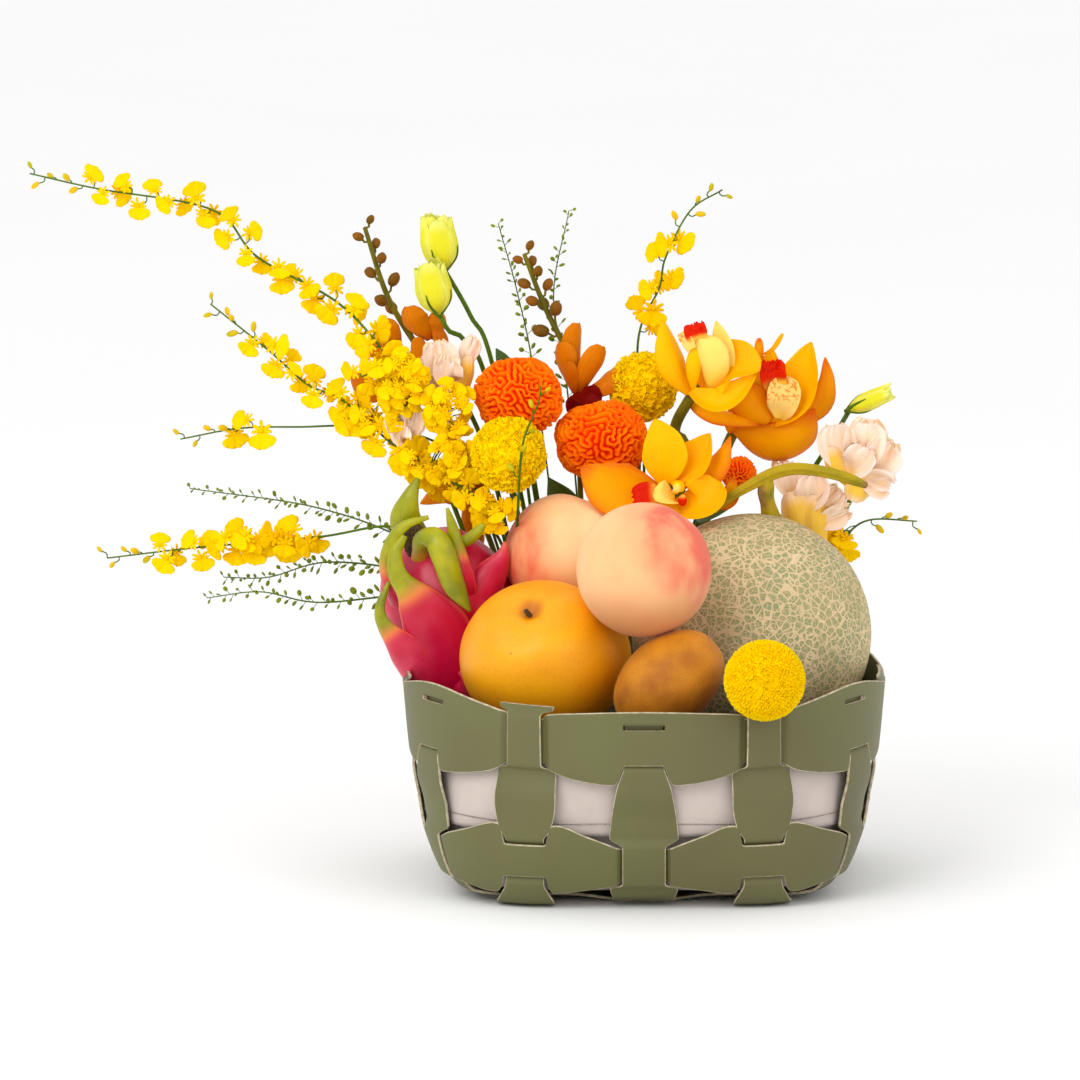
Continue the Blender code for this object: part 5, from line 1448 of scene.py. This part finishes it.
def build_spray(node, branches, clusters, stem_radius, seed):
    """Dancing orchid spray; a branch is (path, florets, buds, last share with florets)."""
    draw = random.Random(seed)
    shape = Shape()
    florets, buds = [], []
    lines = []
    for points, count, tips, last in branches:
        path = smooth_path(points, 2.5)
        radii = np.linspace(stem_radius * 0.45, stem_radius, len(path))
        add_tube(shape, path, radii, 6)
        tangents, side, other = path_frames(path)
        lines.append((path, tangents))
        total = count + tips
        for index in range(total):
            at = min(len(path) - 1, int((index + 0.35 + draw.uniform(-0.3, 0.3) * (index >= tips)) / total
                                        * last * len(path)))
            turn = index * GOLDEN_TURN + draw.uniform(-0.5, 0.5)
            out = side[at] * math.cos(turn) + other[at] * math.sin(turn)
            bud = index < tips
            reach = draw.uniform(4, 7) if bud else draw.uniform(4.0, 8.0)
            way = unit(out - tangents[at] * 0.7)
            tip = path[at] + way * reach
            add_tube(shape, smooth_path([path[at], path[at] + out * reach * 0.5, tip], 1.5), 0.45, 5)
            if bud:
                buds.append((tip, facing(way), 0.8 + 0.5 * index / max(1, tips), draw.random()))
            else:
                florets.append((tip, floret_turn(draw, out, tangents[at]), 0.82 + 0.26 * index / total,
                                draw.random()))
    for centre, radii, count, size in clusters:
        path, tangents = lines[0]
        for _ in range(count):
            way = unit([draw.gauss(0, 1) for _ in range(3)])
            tip = np.array(centre) + way * np.array(radii) * draw.random() ** 0.4
            at = int(np.argmin(np.linalg.norm(path - tip, axis=1)))
            middle = (path[at] + tip) / 2 + np.array((0, 1.5, 1.5))
            add_tube(shape, smooth_path([path[at], middle, tip], 2.5), 0.4, 5)
            florets.append((tip, floret_turn(draw, way, tangents[at]), size, draw.random()))
    obj = piece(node + "_florets", shape, [FINISHES["stem"]], node)
    grow(obj, florets, FLORET, "dancing", 1.0, 0.14, seed)
    if buds:
        grow(obj, buds, SMALL_BUD, "dancing_bud", 1.0, 0.15, seed + 1)


def build_sprig(node, branches, seed):
    """Fine sprig with small seeds on hair-thin stalks; a branch is (path, seeds, first, last share)."""
    draw = random.Random(seed)
    shape = Shape()
    seeds = []
    for points, count, first, last in branches:
        path = smooth_path(points, 2.5)
        add_tube(shape, path, np.linspace(0.35, 0.9, len(path)), 5)
        tangents, side, other = path_frames(path)
        for index in range(count):
            at = min(len(path) - 1, int((first + (last - first) * (index + 0.5) / count) * len(path)))
            turn = index * GOLDEN_TURN + draw.uniform(-0.6, 0.6)
            out = side[at] * math.cos(turn) + other[at] * math.sin(turn)
            way = unit(out - tangents[at] * 0.6)
            reach = draw.uniform(3.0, 6.5) * (0.6 + 0.6 * index / count)
            tip = path[at] + way * reach
            add_tube(shape, smooth_path([path[at], tip], 1.5), 0.22, 4)
            seeds.append((tip, facing(way, draw.uniform(0, 6)), 0.7 + 0.6 * index / count, draw.random()))
    obj = piece(node + "_seeds", shape, [FINISHES["stem"]], node)
    seed_shape = Shape()
    add_ball(seed_shape, (0, 0, 0.9), (1.6, 0.8, 2.1), 6, 4)
    grow(obj, seeds, seed_shape, "sprig", 1.0, 0.2, seed)


def build_leaf(node, base, way, face, length, width, foot):
    """Pointed leaf with a folded middle, on a thin stem."""
    shape = Shape()
    add_petal(shape, base, way, face, length, width, ((0, 0.2), (0.35, 1.0), (0.7, 0.75), (1, 0.05)),
              -0.15, 0.3, 1.2, 1.0, 0, 18, 9, 0.6)
    stalk_to(shape, base, (), foot, 1.1, 1)
    piece(node + "_blade", shape, [FINISHES["leaf"], FINISHES["stem"]], node)


def build_round_flowers():
    """Celosias, chrysanthemums and buds."""
    build_celosia("celosia_left", (-81, 60, 306), (29, 26, 26), (-50, 84), (), 7, 4.4, 5, 16, 1)
    build_celosia("celosia_middle", (-27.5, 64, 276), (31, 27, 27), (-28, 82), (), 7, 4.4, 5, 16, 2)
    build_celosia("celosia_right", (62, 72, 252.5), (12, 12, 12), (4, 106), ((30, 100, 205),),
                  6, 3.4, 3, 9, 3)
    build_chrysanthemum("chrysanthemum_left", (-88, 18, 275), 25, (-0.1, -1, 0.3), ((-82, 72, 225),),
                        (-60, 76), 4)
    build_chrysanthemum("chrysanthemum_right", (-0.5, 102, 306), 23, (0.1, -1, 0.4), (), (-12, 108), 6)
    build_bud("bud_high", (-133, 112, 399), (-0.15, 0, 1), 19, 26, ((-113, 116, 350), (-97, 114, 311)),
              (-56, 108), 21)
    build_bud("bud_low", (-137, 94, 372), (-0.2, 0, 1), 18, 25,
              ((-127, 98, 343), (-117, 102, 336), (-100, 100, 300)), (-62, 92), 22)
    build_bud("bud_right", (147, 74, 301), (0.9, 0, 0.4), 16, 13, ((112, 112, 252),), (24, 118), 23)


def build_cream_flowers():
    """Ruffled cream flowers with yellow throats."""
    front, high, right = (0.1, -1, 0.2), (0.1, -0.8, 0.6), (0.4, -1, 0.1)
    build_cream("cream_left_high", (-124, 82, 322), (2, 4, -12), (
        (((0, 0, -10), (-8, -6, 4), (-10, -6, 17)), 24, front, 0.3),
        (((0, 0, -10), (-12, -3, -2), (-19, -3, 8)), 20, (-0.4, -1, 0.2), 0.3),
        (((-2, -4, -12), (-4, -12, -4), (-3, -13, 6)), 20, high, 0.35),
        (((-2, 0, -12), (-10, -8, -12), (-16, -9, -6)), 16, (-0.2, -1, -0.2), 0.3),
        (((8, 0, -4), (10, -3, 10), (13, -2, 19)), 14, high, -0.2)), (
        (((5, 0, -24), (9, -6, -8), (11, -5, 8)), 12, right, -0.45),), ((-98, 82, 250),), (-70, 84), 11)
    build_cream("cream_left_low", (-156, 66, 286), (4, 4, -10), (
        (((2, 0, -10), (-4, -5, 0), (-7, -5, 9)), 17, front, 0.3),
        (((2, 0, -10), (6, -5, -1), (8, -4, 10)), 15, front, 0.3),
        (((0, -2, -12), (-2, -9, -6), (0, -10, 1)), 14, high, 0.3)), (
        (((8, 0, -16), (0, -5, -13), (-10, -4, -8)), 9, front, -0.3),), ((-128, 84, 240),), (-84, 84), 12)
    build_cream("cream_right_high", (138, 66, 267), (-6, 6, -14), (
        (((-4, 0, -14), (-10, -6, 4), (-13, -5, 20)), 26, (-0.2, -1, 0.2), 0.3),
        (((-4, 0, -14), (4, -8, 4), (6, -7, 22)), 28, front, 0.3),
        (((-2, 0, -14), (12, -6, -4), (22, -5, 8)), 26, right, 0.3),
        (((-2, -2, -14), (12, -8, -16), (22, -6, -20)), 20, (0.3, -1, -0.2), 0.25),
        (((-4, -4, -14), (2, -14, -4), (8, -15, 6)), 22, high, 0.35)), (
        (((-4, 0, -22), (-14, -8, -8), (-17, -8, 6)), 15, (-0.4, -1, 0), -0.35),
        (((2, 0, -8), (2, -8, -20), (-2, -9, -30)), 18, (0, -1, -0.2), -0.3)),
        ((130, 106, 222), (58, 116, 135)), (34, 113), 13)
    build_cream("cream_right_low", (107, 82, 233), (-8, 6, -14), (
        (((-4, 0, -8), (2, -8, 6), (4, -7, 18)), 22, high, 0.3),
        (((0, 0, -12), (12, -6, 0), (20, -4, 8)), 18, right, 0.3),
        (((2, -2, -16), (14, -6, -10), (24, -4, -6)), 16, right, 0.3),
        (((-8, 0, 0), (-14, -3, 14), (-16, -2, 26)), 18, front, 0.25)), (
        (((6, 0, -34), (-6, -10, -14), (-12, -9, 8)), 24, (-0.3, -1, 0.1), -0.4),
        (((10, 0, -34), (6, -11, -14), (6, -10, 6)), 22, (0.3, -1, 0), -0.4)),
        ((80, 106, 190),), (46, 106), 14)


def build_orchids():
    """Gold and bronze orchids."""
    front, high, low = (0.0, -1.0, 0.15), (0.0, -0.7, 0.7), (0.1, -0.9, -0.4)
    left, right = (-0.5, -0.85, 0.1), (0.5, -0.85, 0.1)
    build_orchid("orchid_gold_high", (38, 62, 318), (
        ("gold", ((-8, 0, -10), (-18.5, -6, 11), (-26, -2, 38.5)), 21, PETAL, right, -0.22, 0.3, 0),
        ("gold_cup", ((8, 0, -8), (13, -4, 16), (9, -2, 38)), 17, PETAL, front, 0.1, 0.3, 0),
        ("gold", ((0, 0, -8), (18, -4, 8), (38, -8, 8)), 36, BROAD_PETAL, high, 0.22, 0.4, 0),
        ("gold_cup", ((6, -6, -8), (2, -14, 12), (-3, -12, 29)), 26, ROUND_PETAL, left, -0.4, 0.3, 0),
        ("lip", ((-3, -13, 28), (-4.5, -14, 33), (-5.5, -13, 38)), 15, RIM_PETAL, front, 0.15, 1.4, 0),
        ("lip_spotted", ((-7, -12.5, 21), (-10.5, -13.5, 27), (-14, -13, 32)), 8, RIM_PETAL, front, 0.2,
         0.8, 0),
        ("gold", ((-6, -8, -6), (-6, -13, 8), (-5, -12, 21)), 10, ROUND_PETAL, front, -0.2, 0.2, 0),
        ("gold", ((-8, -8, -8), (12, -20, -14), (35, -13, 4)), 20, PETAL, high, 0.3, 0.4, 0)),
        3.6, ((28, 70, 300), (20, 78, 280), (26, 84, 255)), (-4, 90))
    build_orchid("orchid_gold_right", (92, 84, 303), (
        ("gold", ((-6, 0, -14), (-12, -2, 8), (-8, -2, 30)), 26, PETAL, front, 0.15, 0.3, 0),
        ("gold", ((-9, -6, -18), (10, -8, 6), (17, -6, 36)), 33, PETAL, left, 0.28, 0.4, 0),
        ("gold_edge", ((-13, -2, -22), (20, -4, -10), (27, -6, 8), (26, -6, 26)), 17, PETAL, low, -0.15,
         0.3, 0),
        ("gold_edge", ((-34, 2, -24), (-10, -6, -33), (9, -8, -27), (19, -6, -8)), 31, TAPERED_PETAL, low,
         -0.2, 0.3, 0),
        ("gold_edge", ((-10, -8, -16), (-21, -14, -5), (-29, -12, 7)), 26, ROUND_PETAL, front, -0.25, 0.2, 0),
        ("lip_spotted", ((-3, -10, -14), (-1, -16, 0), (-1, -15, 15)), 22, ROUND_PETAL, high, 0.25, 0.8, 0),
        ("lip", ((-6, -15, 9), (-8, -18, 16), (-8, -17, 26)), 17, RIM_PETAL, front, 0.2, 1.6, 0),
        ("gold_edge", ((-16, -8, 17), (-17, -9, 28), (-17, -8, 39)), 6, ROUND_PETAL, front, 0.2, 0.2, 0),
        ("gold", ((-15, -2, 27), (-8, -2, 31), (-1.5, -2, 41)), 3.2, ROUND_PETAL, front, 0.1, 0.1, 0),
        ("gold_edge", ((-65, -6, 0), (-50, -12, -9), (-25, -12, -15), (-16, -8, -18)), 13, PETAL, high,
         -0.2, 0.3, 0),
        ("gold_edge", ((-35, 0, -8), (-36, -2, -16), (-35, 0, -25)), 7, ROUND_PETAL, front, 0.2, 0.2, 0)),
        3.6, ((72, 88, 284), (52, 94, 262)), (14, 98))
    build_orchid("orchid_gold_front", (16, 24, 255), (
        ("gold_edge", ((24, 4, -14), (39, 2, -10), (42, 2, 4)), 13, PETAL, front, 0.2, 0.3, 0),
        ("gold_edge", ((8, 0, 0), (28, 2, 14), (40, 0, 31)), 26, PETAL, high, -0.3, 0.4, -50),
        ("gold", ((4, -2, 2), (19, -3, 18), (27, -2, 33)), 26, PETAL, left, 0.2, 0.3, 0),
        ("gold", ((-2, -4, 0), (-3, -8, 24), (-9, -4, 43)), 30, PETAL, front, 0.15, 0.3, 0),
        ("gold_edge", ((-6, -4, -6), (-34, -8, -3), (-57, -4, 11)), 37, PETAL, front, 0.14, 0.3, 0),
        ("gold", ((2, -6, -16), (20, -14, -12), (31, -10, 4)), 30, ROUND_PETAL, high, 0.22, 0.3, 0),
        ("gold", ((0, -6, -8), (-6, -10, -22), (0, -8, -30)), 30, ROUND_PETAL, front, 0.2, 0.3, 0),
        ("gold_cup", ((4, -10, -10), (-4, -18, -6), (-10, -19, -4)), 19, ROUND_PETAL, high, 0.3, 0.8, 0),
        ("lip", ((-8, -19, -6), (-15, -20, -6), (-22, -19, -9)), 19, RIM_PETAL, high, 0.2, 1.6, 0),
        ("gold", ((2, -8, 2), (5, -15, 1), (7, -18, -3)), 9, ROUND_PETAL, front, -0.5, 0.1, 0)),
        3.2, ((4, 60, 232),), (-18, 88), (("gold_cup", (5.5, -18, 0), 2.6), ("lip", (9, -14, -9), 3.0)))
    build_orchid("orchid_bronze_middle", (-43.5, 104, 314), (
        ("bronze", ((0, 0, -12), (-2, -3, 16), (0, -4, 34)), 15, ROUND_PETAL, right, -0.3, 0.2, 0),
        ("bronze", ((-4, -2, -8), (-9, -7, 8), (-10, -8, 22)), 17, ROUND_PETAL, left, -0.3, 0.2, 0),
        ("bronze", ((-2, -6, -12), (-6, -10, 0), (-6, -11, 10)), 12, ROUND_PETAL, left, -0.3, 0.2, 0),
        ("bronze", ((2, -4, -12), (9, -10, 5), (16, -10, 20)), 17, ROUND_PETAL, right, -0.2, 0.2, 0),
        ("bronze", ((4, -4, -12), (17, -9, -5), (30, -8, 4)), 16, ROUND_PETAL, high, -0.25, 0.2, 0),
        ("bronze_lip", ((0, -4, -12), (7, -12, -15), (16, -12, -16)), 18, ROUND_PETAL, high, 0.3, 1.2, 0),
        ("bronze_lip", ((-2, -4, -14), (0, -10, -21), (6, -9, -24)), 14, ROUND_PETAL, front, 0.3, 0.8, 0)),
        1.9, (), (-38, 98), (), ((((-78, 108, 392), (-64, 108, 356), (-43, 101, 316)), 10, 3),))
    build_orchid("orchid_bronze_left", (-152, 122, 328), (
        ("bronze", ((12, -4, 6), (1, -10, 18), (-2, -10, 29)), 20, ROUND_PETAL, left, -0.3, 0.3, 0),
        ("bronze", ((14, -2, 6), (19, -6, 16), (16, -6, 25)), 15, ROUND_PETAL, right, -0.3, 0.3, 0),
        ("bronze", ((15, -2, 18), (20, -6, 8), (22, -6, -2)), 11, ROUND_PETAL, right, -0.2, 0.2, 0),
        ("bronze", ((-8, -2, 2), (-15, -7, 11), (-18, -7, 20)), 15, ROUND_PETAL, left, -0.3, 0.3, 0),
        ("bronze", ((-10, -2, 4), (-21, -6, 5), (-31, -6, 0)), 17, ROUND_PETAL, high, -0.3, 0.3, 0),
        ("bronze", ((-12, -4, -24), (-28, -8, -27), (-37, -7, -16)), 17, ROUND_PETAL, left, -0.2, 0.3, 0),
        ("bronze", ((8, -2, -18), (6, -6, -4), (4, -6, 8)), 11, ROUND_PETAL, front, -0.2, 0.2, 0)),
        1.9, ((-112, 126, 230),), (-68, 108), (),
        ((((-182, 124, 407), (-166.5, 124, 360), (-142, 120, 320)), 8, 5),))
    build_orchid("orchid_bronze_low", (-116, 110, 228), (
        ("bronze", ((6, -2, 2), (-13, -8, 10), (-30, -6, 0)), 19, PETAL, high, -0.2, 0.3, 0),
        ("bronze", ((6, -4, 14), (5, -8, -8), (9, -6, -30)), 16, ROUND_PETAL, right, -0.2, 0.3, 0),
        ("bronze", ((4, -2, 10), (14, -6, 20), (22, -5, 24)), 15, ROUND_PETAL, front, -0.2, 0.3, 0)),
        1.9, (), (-80, 98))


def build_sprays():
    """Dancing orchid sprays and green sprigs."""
    build_spray("dancing_spray_top", (
        (((-400, 104, 446), (-356, 104, 436), (-281, 104, 422), (-252, 104, 391), (-199, 100, 361),
          (-164, 62, 329), (-134, 56, 290), (-97, 76, 230), (-74, 79, STEM_FOOT)), 34, 5, 0.62),
        (((-184, 54, 320), (-164, 58, 326), (-152, 52, 300)), 10, 0, 1.0)),
        (((-158, 52, 316), (16, 9, 20), 44, 0.66), ((-126, 46, 300), (17, 9, 16), 44, 0.66)), 1.3, 4)
    build_spray("dancing_spray_upper", (
        (((-282, 66, 366), (-245, 66, 336), (-219, 66, 313), (-196, 62, 303), (-158, 57, 270),
          (-126, 52, 248), (-90, 70, 200), (-84, 70, STEM_FOOT)), 26, 6, 0.6),
        (((-139, 54, 256.8), (-116, 28, 250), (-94, 14, 232)), 10, 0, 1.0),
        (((-67, 16, 320), (-69, 10, 309), (-78, -6, 289), (-81, -10, 264), (-82, 2, 240), (-84, 70, 190)),
         0, 5, 0.42)),
        (((-130, 38, 268), (26, 10, 13), 44, 0.66), ((-180, 58, 294), (20, 8, 12), 16, 0.75),
         ((-98, 12, 240), (14, 7, 14), 16, 0.66)), 1.3, 9)
    build_spray("dancing_spray_middle", (
        (((-302, 84, 274), (-264, 84, 281), (-225, 84, 282), (-176, 92, 280), (-124, 92, 262),
          (-92, 94, 190), (-78, 90, STEM_FOOT)), 3, 4, 0.2),), (), 1.2, 12)
    build_spray("dancing_spray_low", (
        (((-350, 92, 194), (-291, 92, 201), (-212, 92, 208), (-160, 94, 214), (-112, 94, 190),
          (-90, 92, STEM_FOOT)), 16, 5, 0.45),), (((-246, 88, 208), (34, 5, 5), 10, 0.9),), 1.2, 15)
    build_spray("dancing_spray_rear", (
        (((51, 112, 434), (30, 112, 420), (14, 112, 389), (10, 114, 369), (-4, 130, 330), (0, 130, 250),
          (-2, 118, STEM_FOOT)), 9, 5, 0.36),), (), 1.2, 21)
    build_spray("dancing_spray_right", (
        (((178, 100, 217), (148, 100, 218), (132, 112, 206), (110, 116, 180), (60, 106, STEM_FOOT)), 0, 4,
         0.22),), (((131, 96, 207), (9, 4, 9), 8, 0.85),), 1.2, 23)
    fork = (-108, 106, 160)
    build_sprig("green_sprig_left", (
        (((-296, 110, 237), (-212, 110, 224), (-150, 108, 200), fork, (-74, 100, STEM_FOOT)), 60, 0.0, 0.6),
        (((-274, 100, 180), (-245, 100, 180), (-206, 100, 190), (-150, 104, 182), fork), 60, 0.0, 0.75),
        (((-285, 96, 167), (-250, 96, 171), (-212, 96, 164), (-150, 102, 168), fork), 46, 0.0, 0.75)), 31)
    build_sprig("green_sprig_rear_left", (
        (((-95, 122, 410), (-82, 122, 362), (-70, 116, 300), (-46, 114, STEM_FOOT)), 44, 0.0, 0.42),), 33)
    build_sprig("green_sprig_rear_right", (
        (((-49, 124, 418), (-59, 124, 362), (-50, 120, 300), (-34, 116, STEM_FOOT)), 44, 0.0, 0.42),), 35)


def build_leaves():
    """Leaves between the flowers."""
    build_leaf("leaf_rear", (-85, 124, 307), (-0.5, -0.1, 0.9), (0, -1, 0.2), 23, 11, (-60, 114))
    build_leaf("leaf_middle", (-44, 72, 214), (-0.35, -0.4, 0.8), (0, -1, 0.4), 44, 25, (-40, 78))
    build_leaf("leaf_right", (34, 88, 222), (0.5, -0.5, 0.3), (0, -1, 0.6), 32, 18, (4, 96))


def build_camera():
    """Long lens at the photograph's height angle."""
    data = bpy.data.cameras.new("camera")
    data.sensor_width = SENSOR
    data.lens = SENSOR * VIEW_DISTANCE / (PICTURE * SIZE_OF_PIXEL)
    data.shift_x = (PICTURE / 2 - MIDDLE_COLUMN) / PICTURE
    data.clip_end = CAMERA_REACH
    camera = bpy.data.objects.new("camera", data)
    bpy.context.scene.collection.objects.link(camera)
    back = Vector((0.0, -math.cos(VIEW_ANGLE), math.sin(VIEW_ANGLE)))
    camera.location = (Vector((0, 0, VIEW_HEIGHT)) + back * VIEW_DISTANCE) * MM
    camera.rotation_mode = "QUATERNION"
    camera.rotation_quaternion = (-back).to_track_quat("-Z", "Y")
    bpy.context.scene.camera = camera


def build_stage():
    """Pale floor, soft light from the upper left and an even sky."""
    floor_look = Finish("floor", 0.9)
    floor_look.colour(floor_look.group(BLOTCHES, First=FLOOR_TINT, Second=FLOOR_SHADE, Scale=3.0)["Colour"])
    shape = Shape()
    corners = ((-1, -1, 0), (1, -1, 0), (1, 1, 0), (-1, 1, 0))
    shape.add(np.array(corners) * FLOOR_REACH, [(0, 1, 2, 3)])
    new_object("floor", shape.mesh("floor", [floor_look.material]))
    for name, place, size, power in LIGHTS:
        data = bpy.data.lights.new(name, "AREA")
        data.shape = "DISK"
        data.size = size
        data.energy = power
        lamp = bpy.data.objects.new(name, data)
        bpy.context.scene.collection.objects.link(lamp)
        lamp.location = place
        lamp.rotation_mode = "QUATERNION"
        lamp.rotation_quaternion = (Vector(LIGHT_AIM) - Vector(place)).to_track_quat("-Z", "Y")
    world = bpy.data.worlds.new("sky")
    world.use_nodes = True
    world.node_tree.nodes["Background"].inputs["Color"].default_value = (1, 1, 1, 1)
    world.node_tree.nodes["Background"].inputs["Strength"].default_value = 1.0
    bpy.context.scene.world = world
    bpy.context.scene.view_settings.view_transform = "Standard"


build_camera()
build_stage()
# the packing's dark finish is painted shade for the gaps between the fruit
frame["nodes"]["packing"].data.materials.clear()
frame["nodes"]["packing"].data.materials.append(FINISHES["packing"])
build_straps()
build_liner()
build_melon()
build_peach("peach_front", "peach", (0.55, -0.55, 0.65), (0.75, -0.3, 0.55), 3.0)
build_peach("peach_back", "peach_warm", (0.3, 0.2, 1.0), (-0.95, -0.25, -0.1), 8.0)
build_pear()
build_kiwi()
build_dragon_fruit()
build_ball_flower()
build_round_flowers()
build_cream_flowers()
build_orchids()
build_sprays()
build_leaves()
